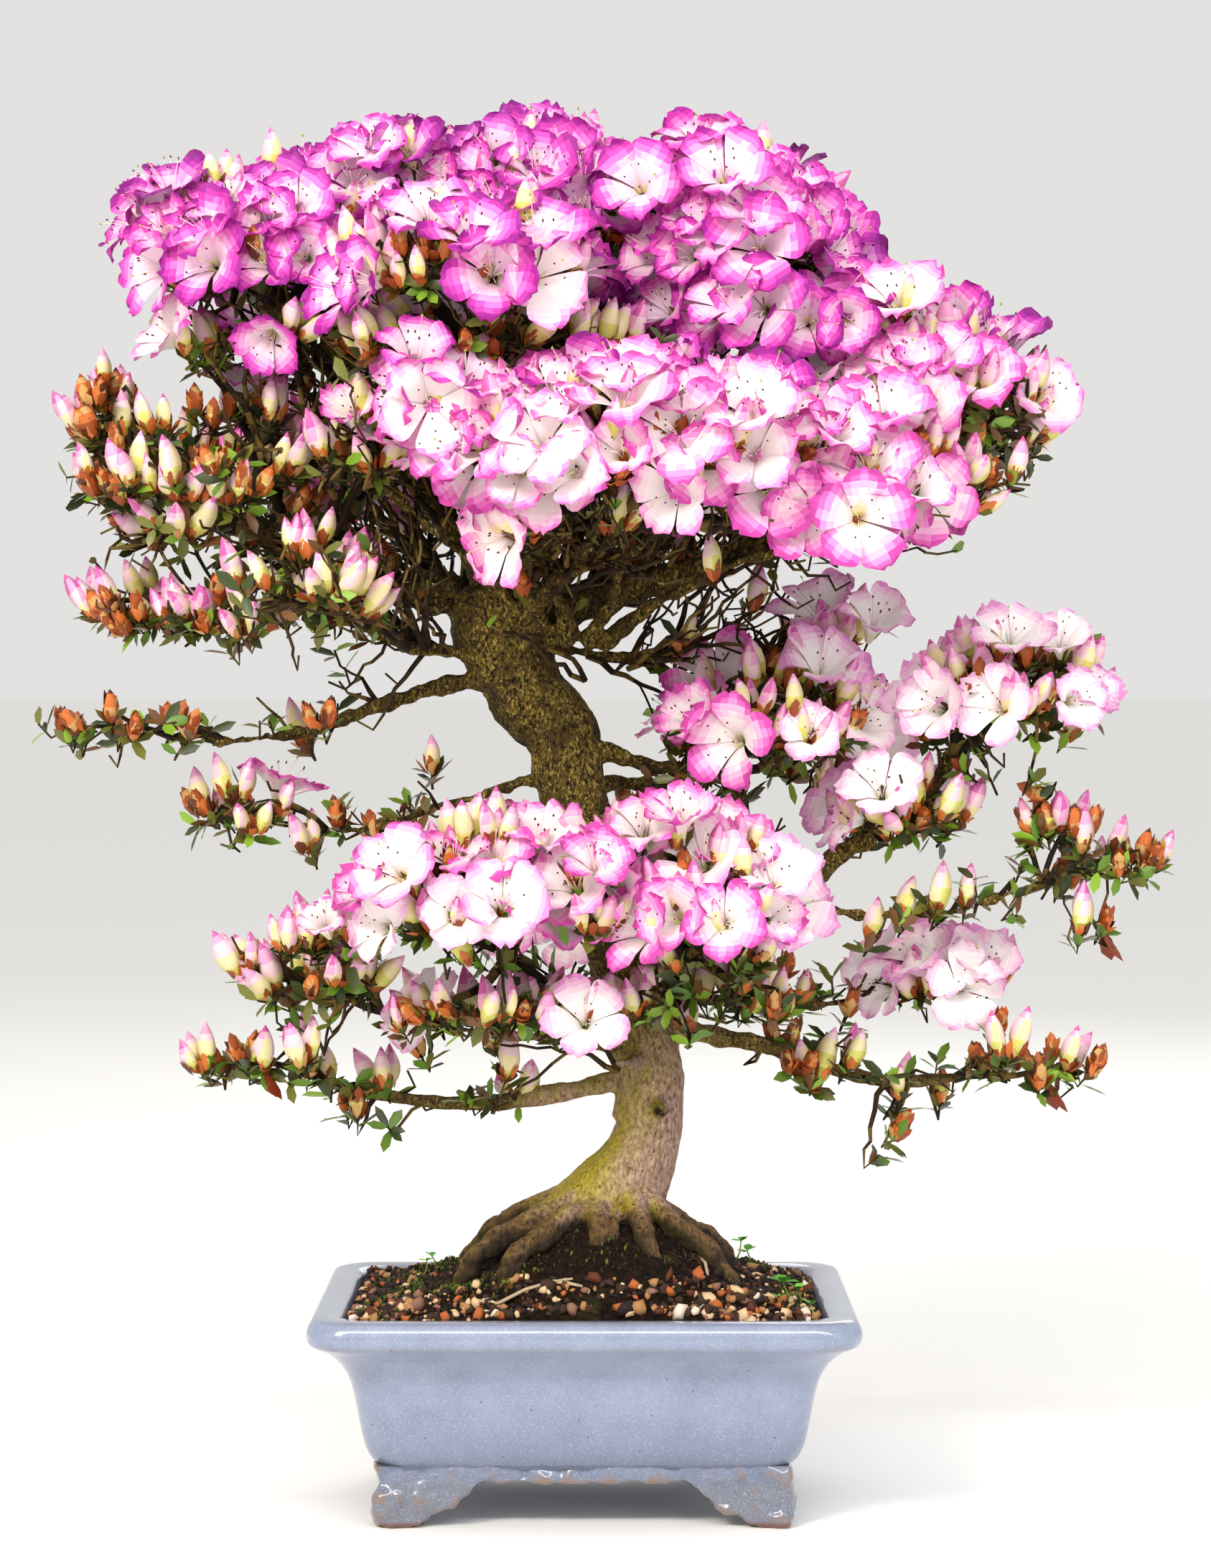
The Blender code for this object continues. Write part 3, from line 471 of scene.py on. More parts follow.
def wear_at(place):
    """How worn the wall's glaze is at a place, 0 to 1."""
    offset = place - MIDDLE
    inside = abs(offset.x) < POT_HALF_X - LIP_WIDTH and abs(offset.y) < POT_HALF_Y - LIP_WIDTH
    patchy, value = 0.6 + 0.8 * noise.noise(place / WORN_PATCH), 0.0
    for ring, width, strength, inner in WORN_RINGS:
        if inside or not inner:
            value = max(value, max(0.0, 1 - abs(place.z / MM - ring) / width) * strength * patchy)
    return min(value, 1)


def finish_piece(thing, slot, *nodes):
    """A finished piece: it rides on the plant's one body, and the frame nodes it stands for are hidden. The
    slot is not used.
    """
    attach(thing, "root")
    if nodes:
        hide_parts(*nodes)
    thing.data.calc_loop_triangles()
    print(thing.name, len(thing.data.loop_triangles), "triangles")


wear = {"pot_feet": standing_out(feet.data, 8, 0.15, 0.9)}
wear["glazed_pot"] = [wear_at(vertex.co) for vertex in wall.data.vertices]
for thing, name in ((wall, "glazed_pot"), (feet, "pot_feet")):
    thing.name = name
    thing.data.attributes.new("thin_glaze", "FLOAT", "POINT").data.foreach_set("value", wear[name])
    thing.data.materials.clear()
    thing.data.materials.append(glaze)
    finish_piece(thing, "pot_glaze", "pot")

# %% [markdown]
# The root spread comes next. The solid's wide foot stands for roots with earth between them, so
# here it is parted: above a cut the trunk keeps its shape, and below it finger roots, drawn as
# tapering curves, run down over a mound of earth. Boughs, trunk and roots are then remeshed as
# one skin, which rounds every fork as growing wood does, and the bark's relief is pressed into
# that skin.

# %% Copies of the trunk and boughs
TRUNK_CUT = 149 * MM
BARK_VOXEL = 1.66 * MM


def copy_of(node):
    """A merged copy of a frame node, which itself stays as it is."""
    copy = frame["nodes"][node].copy()
    copy.data = copy.data.copy()
    for key in list(copy.keys()):
        del copy[key]
    copy.parent = None
    copy.matrix_world = Matrix.Identity(4)
    copy.hide_render = copy.hide_viewport = False
    bpy.context.scene.collection.objects.link(copy)
    copy.data.materials.clear()
    only(copy)
    bpy.ops.object.mode_set(mode="EDIT")
    bpy.ops.mesh.select_all(action="SELECT")
    bpy.ops.mesh.remove_doubles(threshold=0.005 * MM)
    bpy.ops.object.mode_set(mode="OBJECT")
    return copy


BOUGHS = sorted(name for name in frame["nodes"] if name.startswith("bough_"))
trunk = copy_of("trunk")
cut_level(trunk, below=TRUNK_CUT)
wood = [trunk] + [copy_of(name) for name in BOUGHS]
print(len(wood), "copies of wood")

# %% Finger roots, fans and stubs
ROOTS = [  # points from the trunk outwards in mm from the pot's middle, each with its radius
    [(-6, -14, 160, 10), (-21, -24, 152, 9), (-38, -32, 147, 8.5), (-53, -38, 139, 8), (-63, -42, 126, 6),
     (-67, -43, 114, 4)],
    [(0, -22, 156, 9), (-14, -37, 149, 8), (-28, -46, 143, 7.5), (-38, -51, 134, 6.5), (-43, -54, 123, 5),
     (-45, -56, 114, 3)],
    [(5, -26, 158, 8), (6, -37, 151, 7.2), (7, -43, 145, 6.8), (7.5, -46, 140, 5.6)],
    [(16, -28, 156, 4), (15.5, -40, 149, 3), (16, -45, 141, 2.6), (15, -49, 133, 2)],
    [(23, -24, 162, 9), (28, -37, 152, 7.5), (32, -44, 144, 6.8), (37, -50, 134, 6.5), (39, -53, 126, 4.5)],
    [(30, -14, 162, 9), (42, -24, 151, 8.5), (54, -29, 144, 8), (66, -33, 136, 7.5), (75, -36, 124, 6),
     (80, -38, 113, 4)],
    [(-10, 10, 160, 9), (-32, 18, 149, 9), (-50, 24, 139, 8), (-62, 28, 126, 6), (-67, 30, 114, 4)],
    [(4, 20, 158, 9), (-4, 34, 149, 8), (-13, 45, 139, 7), (-18, 53, 126, 5), (-21, 57, 114, 3)],
    [(22, 20, 157, 9), (30, 34, 148, 8), (39, 44, 139, 7), (46, 51, 125, 5), (50, 55, 114, 3)],
    [(30, 6, 160, 9), (48, 12, 148, 8), (64, 17, 138, 7), (75, 20, 125, 5), (80, 22, 114, 3)],
]
ROOT_SUNK, ROOT_SLIM = 2.5, 0.8  # mm lower below the cut, and slimmer than the lists say
FAN_BOUGHS = [  # limbs that fan out in front of the trunk's head
    [(-22, -10, 446, 6), (-36, -26, 466, 5), (-50, -36, 484, 4), (-70, -52, 500, 3.4), (-88, -60, 516, 2.8),
     (-108, -70, 532, 2)],
    [(-18, -12, 450, 6), (-28, -30, 474, 4.6), (-42, -44, 494, 3.8), (-50, -58, 512, 3),
     (-64, -72, 526, 2.2)],
    [(-8, -14, 452, 6), (-14, -34, 476, 4.4), (-20, -52, 496, 3.4), (-16, -68, 512, 2.6), (-26, -84, 524, 2)],
    [(2, -12, 450, 6), (14, -34, 470, 4.6), (18, -50, 488, 3.6), (34, -64, 502, 2.8), (44, -80, 512, 2)],
    [(8, -10, 446, 6), (30, -24, 466, 5), (54, -40, 478, 4), (78, -52, 490, 3.2), (104, -66, 496, 2.2)],
]
STUBS = [  # pruned branches: on the trunk, then out to the cut face
    [(33, -8, 209, 7), (38, -15, 207.5, 6), (41, -20, 208, 4.4), (42.5, -22, 209, 2.6)],
    [(27, -8, 231, 6), (24, -17, 231, 4.6), (20, -23, 232, 3.4), (17, -27, 233, 2.4)],
    [(-8, -8, 352, 6), (-14, -18, 354, 5), (-18, -23, 356, 4)],
    [(30, -8, 268, 6), (38, -16, 270, 4.6), (43, -20, 271, 3.8)],
]


def tapering(points):
    """A closed round tube along points in mm that each carry a radius."""
    sunk = [(x, y, z - ROOT_SUNK * (z < TRUNK_CUT / MM), r * ROOT_SLIM) for x, y, z, r in points]
    line = [(MIDDLE.x + x * MM, MIDDLE.y + y * MM, z * MM, r * MM) for x, y, z, r in smooth_curve(sunk, 4)]
    settings = {"dimensions": "3D", "bevel_depth": 1, "bevel_resolution": 4, "use_fill_caps": True}
    return drawn_curve("root", line, Matrix.Identity(4), **settings)


wood += [tapering(points) for points in ROOTS + STUBS + FAN_BOUGHS]
bark = join_all(wood, "bark")
voxel_remesh(bark, BARK_VOXEL)
apply_modifier(bark, "SMOOTH", factor=0.6, iterations=3)
print("bark", len(bark.data.polygons), "faces")

# %% [markdown]
# Old azalea bark is thin: long low swellings under it, small pits and flakes on it, and knuckles
# on the boughs where twigs once were. Three sizes of noise move the points along their normals.
# The coarse one is stretched along the trunk, and the middle one is deeper high on the tree,
# where the bark is rougher. Before that, the trunk's foot is drawn in on the left, where it
# sweeps down to the roots.

# %% The trunk's left edge
LEFT_EDGE = [  # mm above the table, and from the pot's middle
    (156, -24), (162, -20), (171, -9), (181, 4), (190, 11), (202, 15),
]
FOOT_LEFT, FOOT_RIGHT, FOOT_DEEP = 26, 75, 45  # mm: how far round this edge the trunk's foot is looked for
LEVEL_STEP, LEVEL_HALF = 2.0, 1.7


def draw_in(thing, edge):
    """Squeezes the left half of the trunk's foot so that its outline keeps to an edge."""
    places = (points_of(thing.data) - np.array(MIDDLE)) / MM
    heights, aside = places[:, 2], places[:, 0]
    wanted = np.interp(heights, *zip(*edge))
    near = (aside > wanted - FOOT_LEFT) & (aside < FOOT_RIGHT) & (abs(places[:, 1]) < FOOT_DEEP)
    levels = np.arange(edge[0][0], edge[-1][0] + 1, LEVEL_STEP)
    bands = [aside[near & (abs(heights - level) < LEVEL_HALF)] for level in levels]
    left = np.interp(heights, levels, [band.min() for band in bands])
    middle = np.interp(heights, levels, [(band.min() + band.max()) / 2 for band in bands])
    share = np.clip((middle - wanted) / (middle - left), 0.3, 1)
    fade = np.clip((heights - edge[0][0]) / 9, 0, 1) * np.clip((edge[-1][0] - heights) / 3, 0, 1)
    moved = near & (aside < middle) & (fade > 0)
    squeezed = middle + (aside - middle) * (1 + (share - 1) * fade)
    places[moved, 0] = squeezed[moved]
    thing.data.vertices.foreach_set("co", (places * MM + np.array(MIDDLE)).ravel())
    thing.data.update()
    print("drawn in on the left:", int(moved.sum()), "points")


draw_in(bark, LEFT_EDGE)
apply_modifier(bark, "SMOOTH", factor=0.6, iterations=3)

# %% Bark relief
RELIEF = [  # swellings per mm across and along, their depth in mm, and how much deeper rough bark is
    ((1 / 15, 1 / 15, 1 / 34), 1.5, 0),
    ((1 / 9, 1 / 9, 1 / 14), 0.6, 2.3),
    ((1 / 3.4, 1 / 3.4, 1 / 4.4), 0.35, 0.5),
]
ROOT_RELIEF = 0.9  # how rough the roots are
ROUGH_FROM, ROUGH_TO = 215, 270  # mm above the table between which the bark turns rough


def press_relief(thing, layers):
    """Moves each point along its normal by layers of noise."""
    moved = []
    for vertex in thing.data.vertices:
        place, lift = vertex.co / MM, 0.0
        high = min(max((place.z - ROUGH_FROM) / (ROUGH_TO - ROUGH_FROM), 0), 1)
        if place.z < TRUNK_CUT / MM:
            high = ROOT_RELIEF
        for (x, y, z), depth, more in layers:
            lift += (depth + more * high) * noise.noise(Vector((place.x * x, place.y * y, place.z * z)))
        moved.append(vertex.co + vertex.normal * lift * MM)
    thing.data.vertices.foreach_set("co", np.array(moved).ravel())
    thing.data.update()


press_relief(bark, RELIEF)
only(bark)
bpy.ops.object.shade_smooth()
print("bark relief up to", sum(depth + more for _, depth, more in RELIEF), "mm deep")

# %% [markdown]
# Bark is dull and a little waxy, so it is rough with a weak sheen. Low on the trunk it is tan,
# grey-pink on the right and yellow-green with algae on the left, dotted with small dark pits.
# Higher up it is dark olive with paler grains, pale flecks and near-black patches: partly the
# bark's own colour, partly painted highlight and painted shadow. Near the earth the roots are
# stained brown, and their undersides are painted nearly black, a painted shade. Each of these
# tones is one fine mix of two plain colours, and the tones are laid over each other as coats.

# %% What the bark's coats follow
STRETCH = (1, 1, 0.55)  # grains are nearly twice as long along the trunk
GRAIN, CLOUD, FLECK, WAVE = 480, 60, 640, 190  # per metre: 2.1, 17, 1.6 and 5.3 mm wide
PIT = 3.6 * MM
bark_skin = new_material("azalea_bark", "#6d5a3a", 0.85, Specular_IOR_Level=0.25)
place = add_node(bark_skin, "TexCoord")["Object"]
upright = add_node(bark_skin, "Mapping", {"Vector": place, "Scale": STRETCH})["Vector"]
parts = add_node(bark_skin, "SeparateXYZ", [place])
facing = add_node(bark_skin, "SeparateXYZ", [add_node(bark_skin, "NewGeometry")["Normal"]])
grain, cloudy, flecks, wavy = (
    add_node(bark_skin, "TexNoise", {"Vector": over, "Scale": scale, "Detail": fine, "Roughness": rough})[0]
    for over, scale, fine, rough in (
        (upright, GRAIN, 5, 0.75), (upright, CLOUD, 4, 0.6), (upright, FLECK, 3, 0.8), (place, WAVE, 3, 0.7),
    )
)
pits = add_node(bark_skin, "TexVoronoi", {"Vector": upright, "Scale": 1 / PIT})
chosen = add_node(bark_skin, "SeparateColor", [pits["Color"]])[0]
off_trunk = add_node(bark_skin, "Math", [parts["X"], MIDDLE.x + 12 * MM], operation="SUBTRACT")[0]
off_trunk = add_node(bark_skin, "Math", [off_trunk], operation="ABSOLUTE")[0]
boughs = cover(bark_skin, [(off_trunk, 34 * MM, 60 * MM, 0, 0.9), (parts["Z"], 188 * MM, 205 * MM)])
crown = cover(bark_skin, [(parts["Z"], 212 * MM, 262 * MM)])
high_up = add_node(bark_skin, "Math", [crown, boughs], operation="MAXIMUM")[0]
splashed = add_node(bark_skin, "Math", [cloudy, 26 * MM, parts["Z"]], operation="MULTIPLY_ADD")[0]

# %% Bark tones and coats
SCARS = [  # where branches were cut: the place in mm from the pot's middle, two radii, the colour
    ((39, -20, 206), 2.5, 6.5, "#2a1a10"), ((17, -26, 233), 1.5, 4, "#cdb496"),
    ((40, -19, 270), 3, 6, "#2a1a10"),
]
tones = {
    name: coated(bark_skin, dark, (pale, (grain, start, end)))
    for name, dark, pale, start, end in (
        ("tan", "#785530", "#e9ca9e", 0.34, 0.66), ("pinkish", "#73503c", "#d8b8a5", 0.34, 0.66),
        ("algae", "#746618", "#ccb942", 0.34, 0.66), ("stain", "#221309", "#8c6a42", 0.34, 0.66),
        ("olive", "#120d04", "#6e5a20", 0.42, 0.58), ("brown", "#0e0903", "#53401c", 0.42, 0.58),
    )
}
low_trunk = coated(
    bark_skin, tones["tan"],
    (tones["pinkish"], (facing["X"], -0.1, 0.6), (cloudy, 0.3, 0.5)),
    (tones["algae"], (facing["X"], 0.3, -0.5), (cloudy, 0.34, 0.5)),
)
# High on the trunk the pale flecks and near-black patches are partly bark colour, partly painted highlight
# and painted shadow
high_trunk = coated(
    bark_skin, tones["olive"],
    ("#bda654", (flecks, 0.52, 0.62, 0, 0.95)),
    (tones["brown"], (cloudy, 0.46, 0.6, 0, 0.85)),
)
coats = [
    (high_trunk, (high_up, 0, 1)),
    ("#3a2618", (pits["Distance"], 0.2, 0.1, 0, 0.85), (chosen, 0.45, 0.55)),
]
for centre, inner, outer, tone in SCARS:
    inputs = [place, MIDDLE + Vector(centre) * MM]
    far = add_node(bark_skin, "VectorMath", inputs, operation="DISTANCE")["Value"]
    coats.append((tone, (far, inner * MM, outer * MM, 1, 0), (wavy, 0.3, 0.5)))
# The roots' brown stain near the earth, and under it painted shade: surfaces that face down are painted near
# black
stain_and_painted_shade = coated(bark_skin, tones["stain"], ("#0b0603", (facing["Z"], 0.66, 0.1, 0, 0.9)))
coats.append((stain_and_painted_shade, (splashed, 176 * MM, 165 * MM, 0, 0.93)))
into_shader(bark_skin, coated(bark_skin, low_trunk, *coats), grain, 1.0, 2.0 * MM)
bark.data.materials.clear()
bark.data.materials.append(bark_skin)
finish_piece(bark, "bark", "trunk", *BOUGHS)

# %% [markdown]
# The earth is a grid of points let down onto the soil's solid. Round the trunk it rises in a
# cone that leaves the finger roots half out. Noise makes it crumbly. Along the rim it is filled
# up nearly level, and its edge turns down behind the lip. Wet earth is dark and dull, with a film
# of algae in places.

# %% Earth
EARTH_HALF_X = POT_HALF_X - 19.2 * MM
EARTH_HALF_Y = POT_HALF_Y - 19.2 * MM
EARTH_OVER = 4.0 * MM  # how high the earth lies over the root foot's solid
EARTH_RIM = 107.5 * MM  # its height along the rim
EARTH_GRID = 1.6 * MM
EDGE_DROP = 12 * MM
MOUND_MIDDLE = (8, -3)  # mm from the pot's middle
MOUND_TOP, MOUND_TOP_HALF, MOUND_SLOPE = 155, 26, 0.68  # mm, mm, and its fall per mm
MOUND_REACH = 78
SWELL, SWELL_INNER, SWELL_OUTER = 8 * MM, 55, 118  # the soil's gentle rise towards the trunk
BUMP_SIZE, BUMP_DEPTH, CRUMB_SIZE, CRUMB_DEPTH = 9 * MM, 1.9 * MM, 2.6 * MM, 0.9 * MM


def surface_tree(mesh):
    return BVHTree.FromPolygons(points_of(mesh).tolist(), [p.vertices[:] for p in mesh.polygons])


soil_tree, trunk_tree = (surface_tree(frame["nodes"][node].data) for node in ("soil", "trunk"))


def earth_height(x, y):
    """The height of the earth over one point of the pot."""
    down = Vector((0, 0, -1))
    soil_hit = soil_tree.ray_cast(Vector((x, y, 0.3)), down)[0]
    height = max(soil_hit.z if soil_hit else 0, EARTH_RIM)
    root_hit = trunk_tree.ray_cast(Vector((x, y, TRUNK_CUT)), down)[0]
    root_top = trunk_tree.ray_cast(Vector((x, y, 0.9)), down)[0]
    if root_top and root_top.z < TRUNK_CUT:
        height = max(height, root_top.z + EARTH_OVER)
    elif root_hit:
        height = max(height, TRUNK_CUT + EARTH_OVER)
    aside = math.hypot((x - MIDDLE.x) / MM - MOUND_MIDDLE[0], (y - MIDDLE.y) / MM - MOUND_MIDDLE[1])
    if aside < MOUND_REACH:
        height = (MOUND_TOP - MOUND_SLOPE * max(aside - MOUND_TOP_HALF, 0)) * MM
    swell = min(max((SWELL_OUTER - aside) / (SWELL_OUTER - SWELL_INNER), 0), 1)
    height = max(height, EARTH_RIM + SWELL * swell * swell * (3 - 2 * swell))
    bumps = noise.fractal(Vector((x, y, 0)) / BUMP_SIZE, 0.9, 2.2, 4) * BUMP_DEPTH
    crumbs = noise.noise(Vector((x, y, 5)) / CRUMB_SIZE) * CRUMB_DEPTH
    return height + bumps + crumbs


bpy.ops.mesh.primitive_grid_add(
    x_subdivisions=int(2 * EARTH_HALF_X / EARTH_GRID),
    y_subdivisions=int(2 * EARTH_HALF_Y / EARTH_GRID),
    size=2, location=(0, 0, 0),
)
earth = bpy.context.object
for vertex in earth.data.vertices:
    edge = max(abs(vertex.co.x), abs(vertex.co.y))
    x, y = MIDDLE.x + vertex.co.x * EARTH_HALF_X, MIDDLE.y + vertex.co.y * EARTH_HALF_Y
    vertex.co = (x, y, earth_height(x, y) - (EDGE_DROP if edge > 0.999 else 0))
earth.name = "earth"
apply_modifier(earth, "SMOOTH", factor=0.5, iterations=1)
only(earth)
bpy.ops.object.shade_smooth()

# %% Earth material
CLUMP, FILM = 300, 36  # per metre: clumps of 3.3 mm, and films of algae 28 mm wide
soil_skin = new_material("potting_earth", "#2b1d12", 0.95, Specular_IOR_Level=0.2)
place = add_node(soil_skin, "TexCoord")["Object"]
clumps, films = (
    add_node(soil_skin, "TexNoise", {"Vector": place, "Scale": scale, "Detail": fine, "Roughness": rough})[0]
    for scale, fine, rough in ((CLUMP, 5, 0.7), (FILM, 3, 0.6))
)
muddy = coated(
    soil_skin, "#040201", ("#2f1c0d", (clumps, 0.38, 0.72)), ("#2f3310", (films, 0.58, 0.68, 0, 0.6)),
)
into_shader(soil_skin, muddy, clumps, 0.9, 1.3 * MM)
earth.data.materials.append(soil_skin)
finish_piece(earth, "soil", "soil")

# %% [markdown]
# From here on shapes come in hundreds. A pile gathers copies of small shapes as arrays of points
# and faces, each face with the number of its material, and makes one mesh of them all. Plain
# colours are dealt out by face, so they stay in their place wherever the model goes.


# %% Piles
class Pile:
    """Many small shapes that become one mesh."""

    def __init__(self):
        self.points, self.threes, self.fours = [], [], []
        self.three_slots, self.four_slots = [], []
        self.count = 0

    def add(self, shape, matrix=None, first_slot=0):
        """A copy of a shape: (points, triangles, their slots, quads, their slots)."""
        points, threes, three_slots, fours, four_slots = shape
        if matrix is not None:
            turn = np.array(matrix.to_3x3())
            points = points @ turn.T + np.array(matrix.translation)
        self.points.append(points)
        self.threes.append(threes + self.count)
        self.fours.append(fours + self.count)
        self.three_slots.append(three_slots + first_slot)
        self.four_slots.append(four_slots + first_slot)
        self.count += len(points)

    def build(self, name, materials, smooth=True):
        """The pile as one object, with only the materials that it uses."""
        points = np.concatenate(self.points)
        threes = np.concatenate(self.threes).astype(np.int32)
        fours = np.concatenate(self.fours).astype(np.int32)
        slots = np.concatenate(self.three_slots + self.four_slots).astype(np.int32)
        used = sorted(set(slots.tolist()))
        slots = np.searchsorted(used, slots)
        mesh = bpy.data.meshes.new(name)
        mesh.vertices.add(len(points))
        mesh.vertices.foreach_set("co", points.astype(np.float32).ravel())
        corners = np.concatenate([threes.ravel(), fours.ravel()])
        mesh.loops.add(len(corners))
        mesh.loops.foreach_set("vertex_index", corners)
        starts = np.concatenate([3 * np.arange(len(threes)), 3 * len(threes) + 4 * np.arange(len(fours))])
        mesh.polygons.add(len(starts))
        mesh.polygons.foreach_set("loop_start", starts.astype(np.int32))
        mesh.polygons.foreach_set("material_index", slots.astype(np.int32))
        mesh.update(calc_edges=True)
        for number in used:
            mesh.materials.append(materials[number])
        made = in_scene(name, mesh)
        if smooth:
            only(made)
            bpy.ops.object.shade_smooth()
        return made


# %% Shapes as arrays
def shape_of(points, threes=(), three_slots=(), fours=(), four_slots=()):
    """A small shape as arrays, its places given in millimetres."""
    return (
        np.array(points, float).reshape(-1, 3) * MM,
        np.array(threes, int).reshape(-1, 3),
        np.array(three_slots, int),
        np.array(fours, int).reshape(-1, 4),
        np.array(four_slots, int),
    )


def merge_shapes(shapes):
    """Several shapes as one."""
    starts = np.cumsum([0] + [len(shape[0]) for shape in shapes])
    parts = [
        (points, threes + start, three_slots, fours + start, four_slots)
        for (points, threes, three_slots, fours, four_slots), start in zip(shapes, starts)
    ]
    return tuple(np.concatenate(part) for part in zip(*parts))


def to_frame(place):
    """A place in mm from the pot's middle, in the frame."""
    return MIDDLE + Vector(place) * MM


def moved_to_pot(shape):
    return (shape[0] + np.array(MIDDLE), *shape[1:])


# %% Ways to stand and turn them
def stand(place, axis, turn, scale=1.0):
    """A matrix that stands a shape's Z axis along a direction, turned about it."""
    quaternion = Vector(axis).to_track_quat("Z", "Y")
    spin = Matrix.Rotation(turn, 4, "Z")
    return Matrix.Translation(place) @ quaternion.to_matrix().to_4x4() @ spin @ Matrix.Scale(scale, 4)


def lean_out(place, axis, turn, lean, scale=1.0):
    """A matrix for a blade: it leaves its place at an angle to the shoot's axis."""
    return stand(place, axis, turn) @ Matrix.Rotation(-lean, 4, "Y") @ Matrix.Scale(scale, 4)


def round_about(way, turn):
    """A direction at right angles to a way, turned about it."""
    side = way.cross(Vector((0, 0, 1)))
    if side.length < 0.01:
        side = way.cross(Vector((1, 0, 0)))
    side.normalize()
    return side * math.cos(turn) + way.cross(side).normalized() * math.sin(turn)


def jolt(dice, size):
    return Vector([dice.uniform(-size, size) for _ in range(3)])


# %% Tubes and blades
def ring_faces(rows, sides):
    """Quads between rings of points, one row after another."""
    fours = []
    for row in range(rows):
        for side in range(sides):
            here, there = row * sides + side, row * sides + (side + 1) % sides
            fours.append((here, there, there + sides, here + sides))
    return fours


def tube(points, radii, sides, slots):
    """A tube through points in mm; slots gives the material of each length."""
    points = np.array(points, float)
    along = np.gradient(points, axis=0)
    along /= np.linalg.norm(along, axis=1, keepdims=True) + 1e-9
    side = np.cross(along[0], (0.3, 0.5, 0.81))
    corners = []
    for place, way, radius in zip(points, along, radii):
        side = side - way * np.dot(side, way)
        side /= np.linalg.norm(side) + 1e-9
        other = np.cross(way, side)
        for corner in range(sides):
            angle = 2 * math.pi * corner / sides
            corners.append(place + radius * (side * math.cos(angle) + other * math.sin(angle)))
    corners += [points[0], points[-1]]
    rows = len(points) - 1
    tip, last = len(corners) - 1, rows * sides
    threes = [(last + i, last + (i + 1) % sides, tip) for i in range(sides)]
    threes += [((i + 1) % sides, i, tip - 1) for i in range(sides)]
    three_slots = [slots[-1]] * sides + [slots[0]] * sides
    four_slots = [slots[row] for row in range(rows) for _ in range(sides)]
    return shape_of(corners, threes, three_slots, ring_faces(rows, sides), four_slots)


def blade(length, width, fold, arch, slot):
    """A leaf or scale lying along +X from the origin: six faces folded along the midrib."""
    points = [(0, 0, 0)]
    for share, half in ((0.3, 0.84), (0.7, 0.96)):
        rise, edge = arch * length * share * share, half * width / 2
        points += [
            (length * share, -edge, rise + fold * edge),
            (length * share, 0, rise),
            (length * share, edge, rise + fold * edge),
        ]
    points.append((length, 0, arch * length))
    threes = [(0, 1, 2), (0, 2, 3), (4, 7, 5), (5, 7, 6)]
    return shape_of(points, threes, [slot] * 4, [(1, 4, 5, 2), (2, 5, 6, 3)], [slot] * 2)


# %% [markdown]
# Grit: fired clay, pumice and lava stones up to 8 mm wide, thickest along the front where
# watering has washed them clean, with small brown crumbs everywhere else. Each is a ball of
# twenty flat faces, its points jittered, sunk a third into the earth. Broken stone is dull, and
# has one colour from grain to grain, so each stone takes one of eight plain colours.

# %% One stone
GRIT_COLOURS = [
    ("pumice_cream", "#e0bd93"), ("fired_clay_tan", "#ab7c4d"), ("fired_clay_orange", "#b4602c"),
    ("lava_red", "#5b2d10"), ("granite_pink", "#8d6450"), ("lava_brown", "#38210f"),
    ("wet_grit", "#1d1009"), ("quartz_white", "#e8d8c4"),
]
GRIT_TOP = 127  # mm: no grit above this, where the roots' earth stands
GRIT_OUT = 0.35  # how far a stone's middle lies over the earth, for a radius of 1

grit_dice = random.Random("grit")
earth_tree = surface_tree(earth.data)
bpy.ops.mesh.primitive_ico_sphere_add(subdivisions=1, radius=1)
ball = bpy.context.object
ball_points = points_of(ball.data)
ball_faces = np.array([p.vertices[:] for p in ball.data.polygons])
bpy.data.objects.remove(ball)
grit = Pile()


def drop_on(x, y):
    """The earth's surface under a point given in mm from the pot's middle."""
    return earth_tree.ray_cast(to_frame((x, y, 300)), Vector((0, 0, -1)))[0]


def add_stone(x, y, size, chances):
    """One jittered stone at a place in mm, its colour drawn by the chances."""
    hit = drop_on(x, y)
    if not hit or hit.z > GRIT_TOP * MM:
        return
    stretch = [grit_dice.uniform(0.5, 1.3) for _ in range(3)]
    jitter = np.array([[grit_dice.uniform(0.5, 1.35)] for _ in range(len(ball_points))])
    colour = grit_dice.choices(range(len(GRIT_COLOURS)), chances)[0]
    stone = shape_of(ball_points * jitter * stretch * size, ball_faces, [colour] * len(ball_faces))
    turn = Matrix.Rotation(grit_dice.uniform(0, 6.28), 4, jolt(grit_dice, 1))
    grit.add(stone, Matrix.Translation(hit + Vector((0, 0, GRIT_OUT * size * MM))) @ turn)


# %% Grit
FRONT_CHANCES = [17, 17, 9, 10, 9, 20, 20, 6]  # of each colour, in the order above
CRUMB_CHANCES = [1, 2.5, 1.5, 9, 3, 34, 48, 0.3]
CRUMB_COUNT, FRONT_COUNT, SIDE_COUNT = 2000, 620, 70
FRONT_DEEP, SIDE_DEEP = 34, 30  # mm from the rim, within which the clean stones lie
RIM_CLEAR = 2.5

